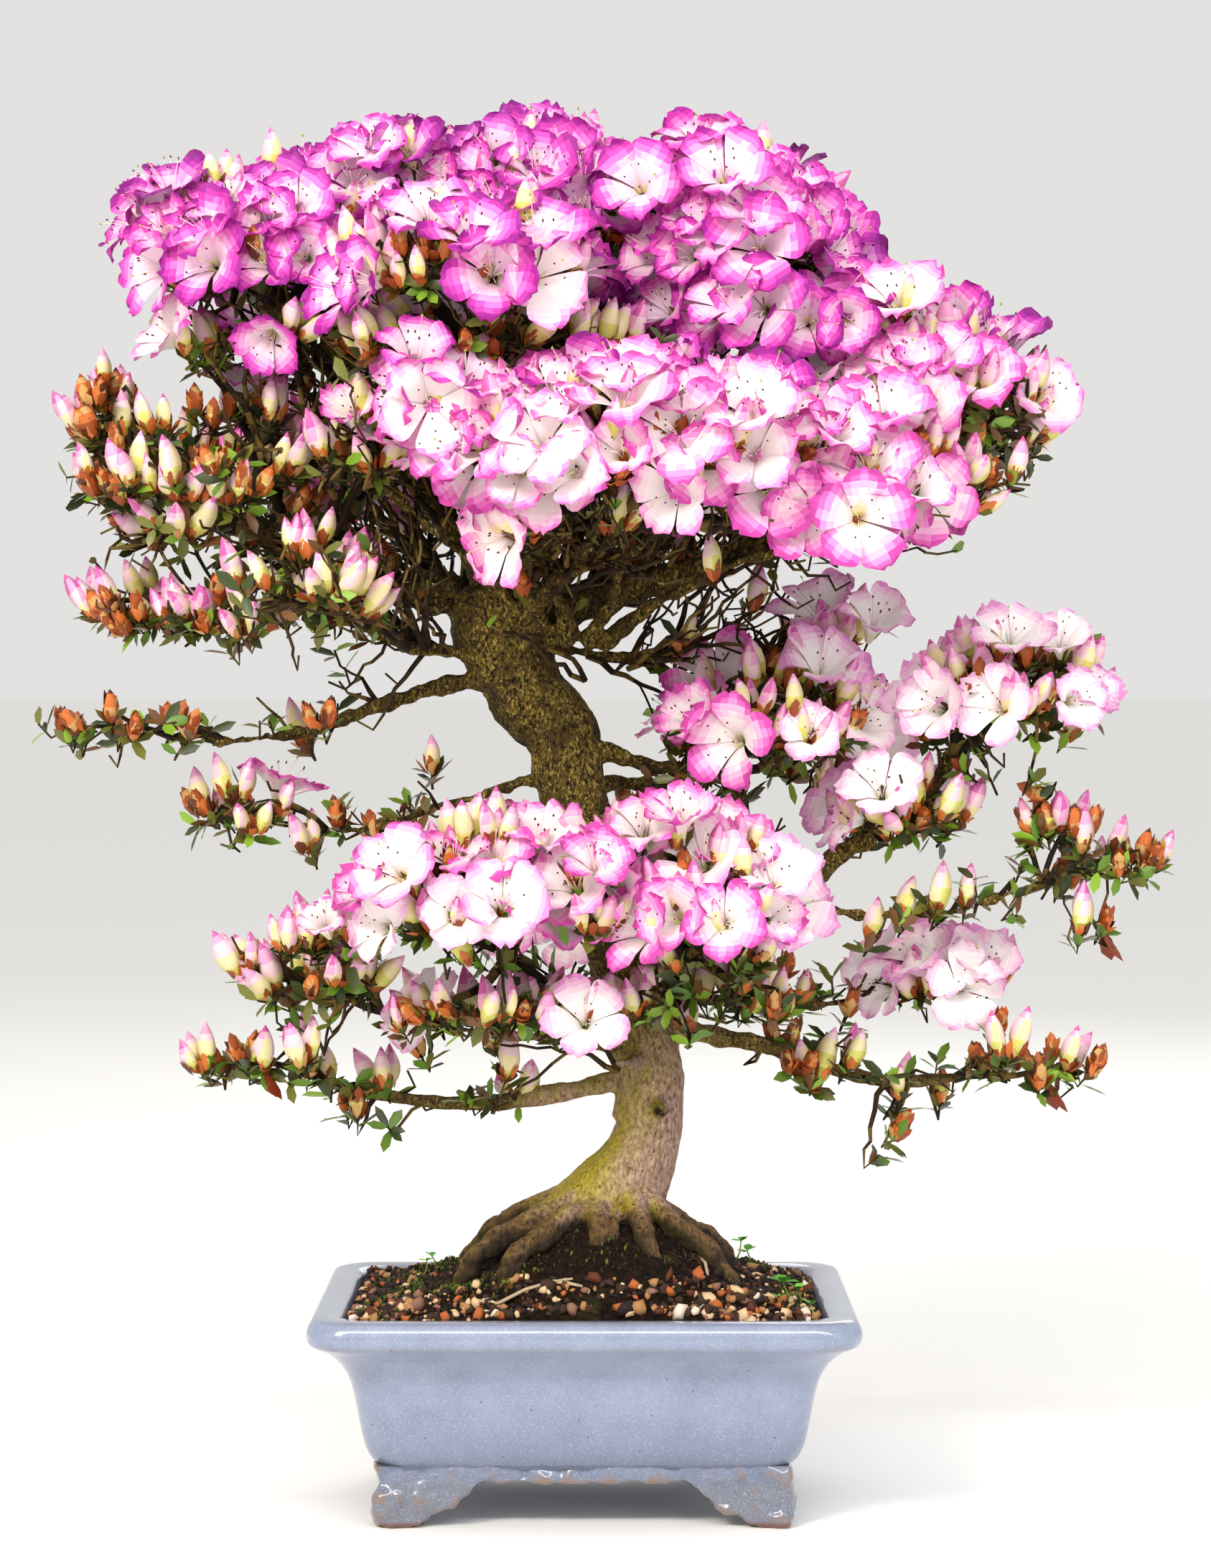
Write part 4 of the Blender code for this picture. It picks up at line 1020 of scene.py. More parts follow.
reach_x, reach_y = EARTH_HALF_X / MM - RIM_CLEAR, EARTH_HALF_Y / MM - RIM_CLEAR
for _ in range(CRUMB_COUNT):
    x, y = grit_dice.uniform(-reach_x, reach_x), grit_dice.uniform(-reach_y, reach_y)
    add_stone(x, y, grit_dice.uniform(0.8, 2.2), CRUMB_CHANCES)
for _ in range(FRONT_COUNT):
    x = grit_dice.uniform(-reach_x, reach_x)
    y = -reach_y + FRONT_DEEP * grit_dice.random() ** 1.4
    add_stone(x, y, 1.2 + 2.9 * grit_dice.random() ** 2.2, FRONT_CHANCES)
for side in (-1, 1):
    for _ in range(SIDE_COUNT):
        x, y = side * (reach_x - SIDE_DEEP * grit_dice.random() ** 1.3), grit_dice.uniform(-reach_y, reach_y)
        add_stone(x, y, grit_dice.uniform(1.4, 3.2), FRONT_CHANCES)
grit_materials = [new_material(name, colour, 0.85) for name, colour in GRIT_COLOURS]
finish_piece(grit.build("grit", grit_materials, smooth=False), "soil")

# %% [markdown]
# What lives on the earth: moss in tufts on the left and by the roots, root hairs hanging in the
# dark mound, seedlings with round leaves on the right, and a dry twig that fell in front. Moss
# is many tiny leaning blades, so that it stays soft at its edge. All of it is dull.

# %% Moss
MOSS_PATCHES = [  # middle in mm, half widths, tufts
    (-112, -70, 14, 14, 240), (-96, -20, 14, 26, 120), (-66, -48, 14, 8, 160), (-82, 40, 24, 20, 150),
    (108, -30, 10, 26, 110), (70, 60, 28, 14, 140), (-10, 72, 30, 9, 110), (12, -52, 34, 8, 26),
    (-40, -60, 16, 8, 60),
]
LIFE_COLOURS = [
    ("moss_dark", "#2e3710"), ("moss_green", "#53601b"), ("moss_yellow", "#7d7d2a"),
    ("seedling_leaf", "#4f9a2c"), ("seedling_light", "#79bd45"), ("seedling_stem", "#7a8a3a"),
    ("root_hair", "#35230f"), ("dry_twig", "#b9a384"), ("root_hair_pale", "#6d5236"),
]
life_dice = random.Random("moss")
life = Pile()


def add_tuft(x, y, size, slot):
    """A moss tuft: three leaning blades on one spot."""
    hit = drop_on(x, y)
    if not hit:
        return
    for i in range(3):
        turn = i * 2.1 + life_dice.uniform(-0.4, 0.4)
        lean = math.radians(life_dice.uniform(30, 80))
        foot = hit - Vector((0, 0, 0.4 * MM))
        life.add(blade(size, size * 0.42, 0.6, 0.3, slot), lean_out(foot, (0, 0, 1), turn, lean))


for x, y, half_wide, half_deep, number in MOSS_PATCHES:
    for _ in range(number):
        where = (life_dice.gauss(x, half_wide / 1.8), life_dice.gauss(y, half_deep / 1.8))
        if abs(where[0]) < reach_x and abs(where[1]) < reach_y:
            add_tuft(*where, life_dice.uniform(1.6, 3.6), life_dice.choice((0, 0, 1, 1, 2)))

# %% Seedlings, root hairs and the fallen twig
SMALL_PLANTS = [  # x, y, height of the stem, leaves, their size
    (104, -52, 12, 4, 8.5), (111, -40, 9, 3, 6.5), (98, -66, 6, 3, 5.5), (79, 8, 11, 3, 6),
    (115, -70, 7, 3, 5.5), (-86, 22, 8, 3, 5), (-80, 30, 7, 3, 4.5), (88, 50, 8, 4, 6), (-30, 76, 7, 3, 5.5),
]
HAIR_COUNT, HAIR_LOW = 1300, 114  # mm: no root hairs below this
HAIR_HALF_X, HAIR_HALF_Y = 62, 56
FALLEN = [  # the dry twig, its side shoot, and a bit of straw, by places in mm
    [(-57, -66), (-44, -68), (-30, -69), (-16, -70), (-6, -71)], [(-16, -70), (-8, -73), (-1, -76)],
    [(58, -30), (62, -38), (63, -48)],
]


def on_earth(x, y):
    """The same place on the earth, in mm from the pot's middle."""
    return (drop_on(x, y) - MIDDLE) / MM


for x, y, height, number, size in SMALL_PLANTS:
    foot = on_earth(x, y)
    top = foot + Vector((life_dice.uniform(-3, 3), life_dice.uniform(-3, 3), height))
    bend = foot.lerp(top, 0.5) + Vector((1, 0, 0))
    life.add(moved_to_pot(tube([foot, bend, top], [0.5, 0.45, 0.35], 4, [5, 5])))
    for i in range(number):
        shape = blade(size, size * 0.8, 0.2, -0.1, life_dice.choice((3, 3, 4)))
        turn = i * 6.28 / number + life_dice.uniform(-0.4, 0.4)
        life.add(shape, lean_out(to_frame(top), (0, 0, 1), turn, math.radians(life_dice.uniform(5, 40))))
for _ in range(HAIR_COUNT):
    angle, out = life_dice.uniform(0, 6.28), life_dice.uniform(0.45, 1.15)
    x, y = MOUND_MIDDLE[0] + HAIR_HALF_X * out * math.cos(angle), HAIR_HALF_Y * out * math.sin(angle)
    foot = on_earth(x, y)
    if foot.z < HAIR_LOW:
        continue
    away = Vector((math.cos(angle), math.sin(angle), 0))
    bend = jolt(life_dice, 2.5) + away * life_dice.uniform(0.5, 3)
    tip = foot + bend + Vector((0, 0, life_dice.uniform(-4, 0.5)))
    line = [foot - away, foot + away * 1.2 + bend * 0.4 + Vector((0, 0, 0.8)), tip]
    life.add(moved_to_pot(tube(line, [0.24, 0.2, 0.1], 3, [life_dice.choice((6, 6, 8))] * 2)))
for places in FALLEN:
    line = [on_earth(x, y) + Vector((0, 0, 1.5)) for x, y in places]
    life.add(moved_to_pot(tube(line, np.linspace(1.3, 0.7, len(line)), 5, [7] * len(line))))
life_materials = [new_material(name, colour, 0.8) for name, colour in LIFE_COLOURS]
finish_piece(life.build("moss_and_seedlings", life_materials), "soil")

# %% [markdown]
# Growth. The solid masses follow a rule, and the same rule is written again here with more and
# finer sprays. Each mass is a dome on its bough's tip. Its sprays end at sites spread evenly
# over the dome, in an order where the first few are even too, so the solid's sprays are among
# these. Twigs part again and again, each fork part-way to the middle of the sites that it serves.

# %% The masses and the fills between them
MASSES = {  # centre and half sizes in mm from the pot's middle, and the share in flower
    "low_left_tip": ((-168, -6, 236), (46, 32, 20), 0.0),
    "low_left": ((-138, -50, 284), (56, 50, 42), 0.08),
    "low_front_left": ((-62, -82, 318), (62, 52, 44), 0.6),
    "low_front_right": ((62, -82, 318), (62, 52, 44), 0.8),
    "low_back": ((20, 104, 305), (98, 56, 42), 0.7),
    "low_right_tip": ((231, -9, 233), (47, 35, 28), 0.0),
    "low_right": ((186, 26, 276), (46, 38, 26), 0.8),
    "right_outer": ((222, -28, 424), (60, 56, 46), 0.4),
    "right_inner": ((98, -14, 408), (66, 64, 48), 0.35),
    "right_back": ((105, 96, 400), (75, 54, 42), 0.3),
    "mid_left": ((-172, -14, 362), (44, 34, 34), 0.3),
    "far_left": ((-230, -32, 408), (58, 30, 26), 0.0),
    "left_low": ((-140, -74, 480), (52, 50, 42), 0.0),
    "left": ((-195, -15, 532), (84, 90, 66), 0.02),
    "top_left": ((-162, -12, 648), (82, 84, 50), 0.78),
    "top": ((-30, 12, 676), (84, 80, 54), 0.9),
    "top_front": ((-58, -104, 634), (78, 62, 46), 0.5),
    "top_right": ((82, -14, 652), (66, 82, 48), 0.95),
    "top_back": ((-30, 116, 645), (100, 62, 50), 0.85),
    "front": ((27, -118, 546), (122, 68, 50), 0.95),
    "right": ((180, -20, 570), (84, 90, 58), 0.85),
    "under_right": ((130, 24, 456), (38, 36, 26), 0.15),
    "back_left": ((-118, 122, 548), (96, 68, 52), 0.5),
    "back_right": ((92, 126, 556), (100, 68, 52), 0.9),
    "far_right": ((268, -30, 338), (46, 30, 28), 0.0),
}
FILLS = [  # smaller domes between them: the bough that bears each, centre, half sizes, flowering share
    ("top_left", (-155, -12, 668), (100, 72, 42), 0.9),
    ("top", (-95, 0, 688), (52, 62, 34), 0.9),
    ("top_right", (64, -14, 682), (86, 72, 36), 0.95),
    ("left", (-160, -45, 606), (70, 50, 28), 0.35),
    ("left", (-108, -72, 548), (44, 48, 40), 0.15),
    ("left", (-212, -20, 470), (62, 60, 36), 0.0),
    ("top_front", (-40, -78, 606), (85, 40, 24), 0.2),
    ("top_right", (108, -40, 618), (80, 62, 34), 0.92),
    ("top_back", (-30, 92, 604), (120, 50, 28), 0.6),
    ("right_outer", (165, -20, 362), (50, 45, 34), 0.4),
    ("far_right", (240, -30, 362), (32, 25, 18), 0.0),
    ("low_front_left", (-48, -70, 264), (75, 42, 26), 0.25),
    ("low_front_right", (62, -58, 272), (60, 42, 25), 0.15),
    ("low_front_right", (2, -92, 322), (46, 42, 36), 0.5),
    ("left", (-175, -52, 468), (66, 46, 34), 0.0),
    ("left", (-245, -16, 560), (38, 56, 46), 0.0),
    ("front", (110, -122, 520), (82, 50, 34), 0.9),
    ("front", (-22, -128, 514), (36, 30, 24), 0.8),
    ("right", (165, -72, 535), (80, 52, 36), 0.85),
    ("top_front", (-62, -112, 598), (72, 40, 30), 0.1),
    ("low_front_left", (-48, -80, 350), (52, 40, 24), 0.75),
    ("low_front_right", (44, -80, 350), (62, 40, 24), 0.75),
    ("low_left", (-118, -66, 300), (44, 34, 26), 0.1),
    ("right", (140, -98, 548), (62, 40, 30), 0.95),
    ("front", (-72, -122, 572), (36, 34, 30), 0.95),
    ("front", (-40, -128, 548), (50, 36, 34), 0.95),
]
REGIONS = {
    "crown_top": ["top_left", "top", "top_front", "top_right", "top_back"],
    "crown_left": ["left", "left_low", "far_left", "back_left"],
    "crown_right": ["front", "right", "under_right", "back_right"],
    "middle": ["right_outer", "right_inner", "right_back", "mid_left", "far_right"],
    "skirt": [
        "low_left_tip", "low_left", "low_front_left", "low_front_right", "low_back", "low_right_tip",
        "low_right",
    ],
}
print(len(MASSES), "masses and", len(FILLS), "fills in", len(REGIONS), "regions")

# %% [markdown]
# Where sprays end. Leaves and flowers want light, so most sprays end in a thin shell under the
# dome's surface and aim outwards and up. A few leafy or bare ones fill the inside and the
# underside. Halves of halves give the heights and the golden angle gives the turns, as in a
# sunflower's head, so that any number of sites comes out evenly spread.

# %% Sites on a dome
DOME_LOW, UNDER_LOW = -0.35, -0.95  # heights on a ball from -1 to 1
LIGHT_LIFT, AIM_JOLT = 0.45, 0.25
GOLDEN_ANGLE = math.pi * (3 - math.sqrt(5))
BUDDING, LEAFY, BARE = 1.2, 2.0, 3.0  # chances that mark a spray in bud, a leafy one and a nearly bare one
UNDERSIDE, UNDER_CHANCES = -0.1, (0.1, 0.4, LEAFY, BARE)  # below this height one of these is added
CROWN_FROM = 440  # mm: masses higher than this belong to the crown
SITE_CLEAR = 0.95  # a site this far out in another mass is inside it


def halves(number):
    """The van der Corput fraction of a whole number: any first few are spread evenly."""
    fraction, step = 0.0, 0.5
    while number:
        fraction += step * (number % 2)
        number //= 2
        step /= 2
    return fraction


def on_ball(height, turn):
    """The direction of a point on a ball, by its height and its turn."""
    wide = math.sqrt(1 - height * height)
    return Vector((wide * math.cos(turn), wide * math.sin(turn), height))


def in_dome(centre, half, facing, depth):
    """The place that lies a share of the way out from a dome's middle."""
    return Vector([centre[i] + facing[i] * half[i] * depth for i in range(3)])


def level_in(name, point):
    """How far out a point, in mm from the pot's middle, is in a mass: 1 on its dome."""
    centre, half, _ = MASSES[name]
    return math.sqrt(sum(((point[i] - centre[i]) / half[i]) ** 2 for i in range(3)))


def dome_sites(centre, half, count, dice, lowest, depths, outward=None, others=()):
    """Where the sprays of a dome end, which way they face and their chance, in mm."""
    sites = []
    for index in range(40 * count):
        height = lowest + (1 - lowest) * halves(index)
        facing, depth = on_ball(height, index * GOLDEN_ANGLE), dice.uniform(*depths)
        if index == 0 and outward:
            facing, depth = outward, 1.0
        place = in_dome(centre, half, facing, depth)
        out = Vector([facing[i] / half[i] for i in range(3)]).normalized()
        aim = (out + Vector((0, 0, LIGHT_LIFT)) + jolt(dice, AIM_JOLT)).normalized()
        chance = dice.random()
        if any(level_in(other, place) < SITE_CLEAR for other in others):
            continue
        if height < UNDERSIDE:
            chance += dice.choice(UNDER_CHANCES)
        sites.append((place, aim, chance))
        if len(sites) == count:
            break
    return sites


def loose_sites(centre, half, count, dice, heights, depths):
    """Leafy and bare shoots inside or under a dome."""
    crown, low = (LEAFY, *[BARE] * 7), (BUDDING, LEAFY, LEAFY, BARE, BARE, BARE)
    sites = []
    for _ in range(count):
        height, turn = dice.uniform(*heights), dice.uniform(0, 6.283)
        facing, depth = on_ball(height, turn), dice.uniform(*depths)
        aim = Vector((facing.x, facing.y, 0.3 + 0.4 * abs(facing.z))) + jolt(dice, 0.5)
        aim.z = max(aim.z, 0.15)
        chance = dice.choice(crown if centre[2] > CROWN_FROM else low)
        sites.append((in_dome(centre, half, facing, depth), aim.normalized(), chance))
    return sites


# %% [markdown]
# Twigs. A twig that carries many shoots is thick, and it thins at every fork. So the sites are
# split in two again and again, and a twig's radius follows the number of sites above it. At a
# fork the thickest child goes on with the parent's line, and every such run becomes one tube,
# bent a little on its way. Young azalea twigs are green, then brown, then grey and dull.

# %% Twigs by forking
TWIG_RADIUS = 0.72  # of a last shoot, in mm
PIPE_POWER = 0.45  # how fast the radius grows with the number of shoots
FORK_SHARE = 0.42  # how far towards its sites' middle a twig forks
FORK_SAG, FORK_JOLT = 0.06, 0.12  # for a reach of 1
SHOOT_LENGTH = 10.0
LEAFY_FOOT, BARE_FOOT = 20.0, 8.0  # mm between a shoot's foot and its site


class Twig:
    """A place where twigs part: where, how thick, and what grows on from it."""

    def __init__(self, place, radius):
        self.place, self.radius, self.children = place, radius, []

    def on_to(self, place, radius):
        child = Twig(place, radius)
        self.children.append(child)
        return child


def split(sites):
    """Two groups of sites, parted across the way in which they lie widest apart."""
    spans = [max(s[0][i] for s in sites) - min(s[0][i] for s in sites) for i in range(3)]
    widest = spans.index(max(spans))
    ordered = sorted(sites, key=lambda s: s[0][widest])
    return ordered[: len(ordered) // 2], ordered[len(ordered) // 2 :]


def grow(twig, sites, dice, sprays):
    """Twigs from here to every site; each end is noted in sprays."""
    if len(sites) == 1:
        place, aim, chance = sites[0]
        foot = place - aim * (LEAFY_FOOT if chance < LEAFY else BARE_FOOT)
        shoot = twig.on_to(foot - aim * SHOOT_LENGTH, TWIG_RADIUS)
        shoot.on_to(foot, TWIG_RADIUS * 0.9)
        sprays.append((foot, aim, chance))
        return
    for group in split(sites):
        if len(group) == 1:
            grow(twig, group, dice, sprays)
            continue
        middle = sum((s[0] for s in group), Vector()) / len(group)
        place = twig.place.lerp(middle, FORK_SHARE)
        reach = (place - twig.place).length
        place += jolt(dice, FORK_JOLT) * reach
        place.z -= FORK_SAG * reach
        grow(twig.on_to(place, TWIG_RADIUS * len(group) ** PIPE_POWER), group, dice, sprays)


# %% Runs of twigs
TWIG_STEP, TWIG_SWAY, LONGEST_SWAY = 8.0, 0.075, 40  # mm, a share of the length, mm


def chains(first):
    """The twigs as unbroken runs: at each fork the thickest child goes on with the run."""
    runs, waiting = [], [(None, first)]
    while waiting:
        parent, twig = waiting.pop()
        run = [parent] if parent else []
        while twig:
            run.append(twig)
            ordered = sorted(twig.children, key=lambda child: -child.radius)
            waiting += [(twig, child) for child in ordered[1:]]
            twig = ordered[0] if ordered else None
        runs.append(run)
    return runs


def crooked(places, radii, dice):
    """More points along a run, each a little off the straight line, as azalea twigs grow."""
    points, thick = [places[0]], [radii[0]]
    for start, end, first, last in zip(places, places[1:], radii, radii[1:]):
        length = (end - start).length
        steps = max(1, round(length / TWIG_STEP))
        for step in range(1, steps + 1):
            share = step / steps
            place = start.lerp(end, share)
            if step < steps:
                place = place + jolt(dice, 1) * TWIG_SWAY * min(length, LONGEST_SWAY)
            points.append(place)
            thick.append(first + (last - first) * share)
    return points, thick


# %% Twigs as tubes
WOODS = [
    ("old_wood", "#221808"), ("grey_wood", "#685427"), ("young_wood", "#3b2b13"), ("green_shoot", "#5a5220"),
]
wood_materials = [new_material(name, colour, 0.8, Specular_IOR_Level=0.25) for name, colour in WOODS]


def wood_slot(radius, dice):
    """Which wood a length of twig has: the thinner, the younger."""
    if radius > 1.6:
        return dice.choice((0, 0, 0, 1))
    return dice.choice((0, 1, 2, 2)) if radius > 0.7 else dice.choice((2, 2, 3))


def add_twigs(pile, stem, dice):
    """Every run of twigs above a stem, as tubes."""
    for run in chains(stem):
        radii = [twig.radius for twig in run]
        if run[0] is not stem:
            radii[0] = min(radii[1] * 1.15, radii[0])
        points, thick = crooked([twig.place for twig in run], radii, dice)
        sides = 6 if thick[0] > 2 else 5 if thick[0] > 1 else 4
        pile.add(moved_to_pot(tube(points, thick, sides, [wood_slot(r, dice) for r in thick[1:]])))


print(len(wood_materials), "kinds of wood")

# %% [markdown]
# A flower. An azalea's five petals are one funnel that parts into rounded lobes, each edge
# lapping over the next. A petal here is a small grid: rows from the throat to the rim, columns
# from edge to edge, cupped, waved along the rim and tilted a little so that it overlaps its
# neighbour. The colour is dealt by face, from green-white in the throat over white to a pink rim.
# A petal is thin and soft: it has little gloss, and a little light comes through it, which a weak
# painted glow stands for; on the pale flowers in the crown's shadow that painted glow is stronger.
# Flowers open pink at the top of the crown, paler in the sun and in the shade below, and purple
# behind, where the purple is painted shade. Stamens with dark anthers and one longer style stand in
# the throat.

# %% Petal colours
BANDS = ["throat", "white", "milk", "pale", "blush", "rose", "pink", "rim"]
PALETTES = {
    "crown": ["#e0daae", "#ebd0de", "#ecbad9", "#ea98cf", "#e370c1", "#d54cb2", "#bc329e", "#98208a"],
    "sun": ["#e4dfb3", "#ece2e0", "#eed9df", "#efc9db", "#efb0d4", "#ea8fca", "#df68b8", "#c4459e"],
    "shade": ["#e4e0c0", "#ece7e5", "#ece2e4", "#ebd9e0", "#eacddb", "#e6b9d2", "#dea3c8", "#cb84b6"],
    # painted shade: darker, purpler petal colours for the flowers behind the crown
    "shaded_purple": ["#d8cfa4", "#e3b9d8", "#dd97cd", "#d375c0", "#c653b2", "#b237a2", "#99238f", "#7e1677"],
}
PAINTED_GLOW = {"crown": 0.05, "sun": 0.05, "shade": 0.13, "shaded_purple": 0.05}  # painted glow for light that comes through a thin petal, stronger on the shade palette to brighten flowers in shadow
STAMEN_COLOURS = [("filament", "#f7dfe9"), ("anther", "#4b1712"), ("style", "#efd9bd"), ("calyx", "#a9b451")]
petal_materials = []
for palette, colours in PALETTES.items():
    for band, colour in zip(BANDS, colours):
        petal_materials.append(new_material(
            f"petal_{palette}_{band}", colour, 0.55, Specular_IOR_Level=0.25,
            Emission_Color=linear(colour), Emission_Strength=PAINTED_GLOW[palette],
        ))
petal_materials += [new_material(name, colour, 0.5) for name, colour in STAMEN_COLOURS]
FIRST_STAMEN = len(BANDS) * len(PALETTES)
print(len(petal_materials), "colours for flowers")

# %% Petals
PETAL = [  # mm from the axis, along the axis, half width, how far the edges fall back
    (1.4, 0, 1.0, 0), (3.3, 6.5, 2.3, 0), (7.4, 11.6, 5.3, 0.2), (11.8, 14.8, 8.2, 0.5),
    (15.4, 16.6, 10.2, 0.9), (18.8, 17.8, 10.9, 1.3), (21.8, 18.4, 10.1, 1.8), (24.0, 18.8, 7.9, 2.0),
    (25.3, 19.0, 4.7, 1.3),
]
COLUMNS = (-1, -0.62, -0.2, 0.2, 0.62, 1)
PETAL_REACH = 24.6
THROAT, WHITE, BLUSHING = 0.15, 0.53, 0.57  # shares of the reach: where the first two end, and pink's width


def petal_band(out, edge, pinker):
    """The number of a face's colour: the throat, then white to rim by how far out it lies."""
    if out < THROAT:
        return 0
    depth = (out + 0.2 * edge * edge + pinker - WHITE) / BLUSHING
    last = len(BANDS) - 2
    return 1 + min(max(round(depth * last), 0), last)


def petal_shape(dice, turn, opened, pinker):
    """One petal as a small grid, turned round the flower's axis."""
    phase, ruffle, curl = dice.uniform(0, 6.28), dice.uniform(1.0, 2.4), dice.uniform(-3, 5)
    tilt, frill = dice.uniform(0.08, 0.2), dice.uniform(0.6, 1.4)
    points, wide = [], len(COLUMNS)
    streaks = [dice.uniform(-0.06, 0.06) for _ in range(wide - 1)]
    for row, (out, up, half, fall) in enumerate(PETAL):
        share = row / (len(PETAL) - 1)
        spread = 1 if row < 2 else opened
        for column in COLUMNS:
            reach = out * spread - fall * column * column
            reach += frill * share**3 * math.sin(6.1 * column + 2 * phase)
            lift = up * (1.35 - 0.35 * opened) + 0.16 * half * column * column + tilt * half * column
            lift += ruffle * share**2 * math.sin(4.6 * column + phase) - curl * share**4
            lift += frill * share * abs(column) * math.sin(1.7 * row + phase)
            aside = half * column * (0.5 + 0.5 * spread)
            points.append((
                reach * math.cos(turn) - aside * math.sin(turn),
                reach * math.sin(turn) + aside * math.cos(turn),
                lift,
            ))
    fours, slots = [], []
    for row in range(len(PETAL) - 1):
        out = (PETAL[row][0] + PETAL[row + 1][0]) / 2 / PETAL_REACH
        for column in range(wide - 1):
            first = row * wide + column
            fours.append((first, first + 1, first + wide + 1, first + wide))
            edge = (COLUMNS[column] + COLUMNS[column + 1]) / 2
            slots.append(petal_band(out, edge, pinker + streaks[column]))
    return shape_of(points, fours=fours, four_slots=slots)


# %% Stamens and whole flowers
FLOWER_KINDS = 20


def filament(turn, reach, height, slot, thick):
    """A stamen or the style: a thin curved thread with an anther or a knob in the next material."""
    line = [(0, 5), (0.35 * reach, 0.6 * height), (reach, height)]
    points = [(out * math.cos(turn), out * math.sin(turn), up) for out, up in line]
    thread = tube(points, (thick, thick, thick * 0.7), 3, [slot] * 2)
    x, y, z = points[-1]
    size, long = thick * 2.4, thick * 4.5
    waist = [(x - size, y, z), (x, y - size, z), (x + size, y, z), (x, y + size, z)]
    threes = [(i, (i + 1) % 4, 5) for i in range(4)] + [((i + 1) % 4, i, 4) for i in range(4)]
    knob = shape_of([*waist, (x, y, z - long), (x, y, z + long)], threes, [slot + 1] * 8)
    return merge_shapes([thread, knob])


def flower_shape(dice):
    """A whole flower standing on its foot, looking along +Z."""
    opened = dice.choice((0.6, 0.76, 0.84, 0.92, 0.98, 1.04))
    pinker = dice.choice((-0.1, -0.04, 0.04, 0.14))
    parts = []
    for petal in range(5):
        turn = 2 * math.pi * petal / 5 + dice.uniform(-0.08, 0.08)
        parts.append(petal_shape(dice, turn, opened * dice.uniform(0.9, 1.06), pinker))
    for stamen in range(5):
        turn = 2 * math.pi * stamen / 5 + dice.uniform(-0.5, 0.5)
        parts.append(filament(turn, dice.uniform(4, 9.5) * opened, dice.uniform(20, 26), FIRST_STAMEN, 0.26))
    parts.append(filament(dice.uniform(0, 6.28), 7, 29, FIRST_STAMEN + 2, 0.28))
    return merge_shapes(parts)


flower_dice = random.Random("flowers")
FLOWERS = [flower_shape(flower_dice) for _ in range(FLOWER_KINDS)]
print("a flower has", len(FLOWERS[0][3]), "quads and", len(FLOWERS[0][1]), "triangles")

# %% [markdown]
# Buds. A swelling bud is a pleated spindle, yellow-green below, cream in the middle and pink at
# its furled tip, and it sits in a ring of rust-brown scales. A resting bud is shorter, all
# scales. Leaves are small ovals folded along the midrib. Buds are sticky and leaves waxy, so both
# shine a little more than petals do.

# %% Colours of buds, scales and leaves
BUD_COLOURS = [
    ("bud_green", "#a3b03c"), ("bud_yellow", "#d7d36e"), ("bud_cream", "#ecdda8"),
    ("bud_blush", "#efcbd2"), ("bud_pink", "#eaa2c8"), ("bud_magenta", "#cf5fa6"),
    ("scale_orange", "#c96c2e"), ("scale_rust", "#98481c"), ("scale_tan", "#c99a5c"),
    ("scale_dark", "#5c2d14"),
]
FIRST_SCALE = 6
LEAF_COLOURS = [
    ("leaf_olive", "#686a28"), ("leaf_dark", "#36421a"), ("leaf_green", "#5c7f24"),
    ("leaf_bright", "#82a92e"), ("leaf_bronze", "#6a4622"), ("leaf_withered", "#7c2f12"),
]
bud_materials = [new_material(name, colour, 0.45, Specular_IOR_Level=0.35) for name, colour in BUD_COLOURS]
leaf_materials = [new_material(name, colour, 0.4, Specular_IOR_Level=0.45) for name, colour in LEAF_COLOURS]
print(len(bud_materials), "colours for buds and", len(leaf_materials), "for leaves")

# %% Buds, scales and leaves
BUD = [  # height and radius in mm
    (0, 2.0), (2.5, 3.3), (5.5, 4.6), (9, 5.3), (12.5, 5.3), (16, 4.7), (19.5, 3.5), (22.8, 1.9), (25.5, 0.3),
]
RESTING_BUD = [(0, 1.8), (3, 3.7), (7.5, 4.4), (11.5, 3.4), (14.5, 1.8), (17, 0.1)]


def spindle(dice, rings, bands, seam, sides=6):
    """A pleated bud; bands gives the slot of each row between two rings, and a seam streaks it pinker."""
    points, slots = [], []
    twist = dice.uniform(0.02, 0.06)
    for up, radius in rings:
        for side in range(sides):
            angle = 2 * math.pi * side / sides + twist * up
            pleat = radius * (1.14 if side % 2 else 0.84)
            points.append((pleat * math.cos(angle), pleat * math.sin(angle), up))
    for row, band in enumerate(bands):
        for side in range(sides):
            pinker = seam and (side % 2 if row >= 2 else side % 3 == 0)
            slots.append(min(band + 1, FIRST_SCALE - 1) if pinker else band)
    return shape_of(points, fours=ring_faces(len(bands), sides), four_slots=slots)


bud_dice = random.Random("buds")
BUDS = [
    spindle(bud_dice, BUD, bands, seam)
    for bands in (
        [0, 0, 1, 2, 2, 3, 4, 4], [0, 1, 2, 3, 3, 4, 4, 5], [0, 0, 1, 1, 2, 2, 3, 4],
        [0, 1, 1, 2, 2, 2, 3, 5], [1, 1, 2, 2, 3, 3, 4, 5],
    )
    for seam in (True, True, False)
]
CLOSED_BUDS = [
    spindle(bud_dice, RESTING_BUD, bands, False)
    for bands in ([7, 6, 8, 6, 7], [9, 7, 6, 8, 7], [7, 8, 6, 6, 9], [0, 1, 8, 6, 7])
]
LEAVES = [
    blade(bud_dice.uniform(11.5, 17.5), bud_dice.uniform(4.8, 6.8), 0.25, bud_dice.uniform(-0.3, 0.1), 0)
    for _ in range(8)
]
SCALES = [
    blade(bud_dice.uniform(7, 11), bud_dice.uniform(5, 6.5), 0.5, bud_dice.uniform(0.1, 0.4), 0)
    for _ in range(5)
]
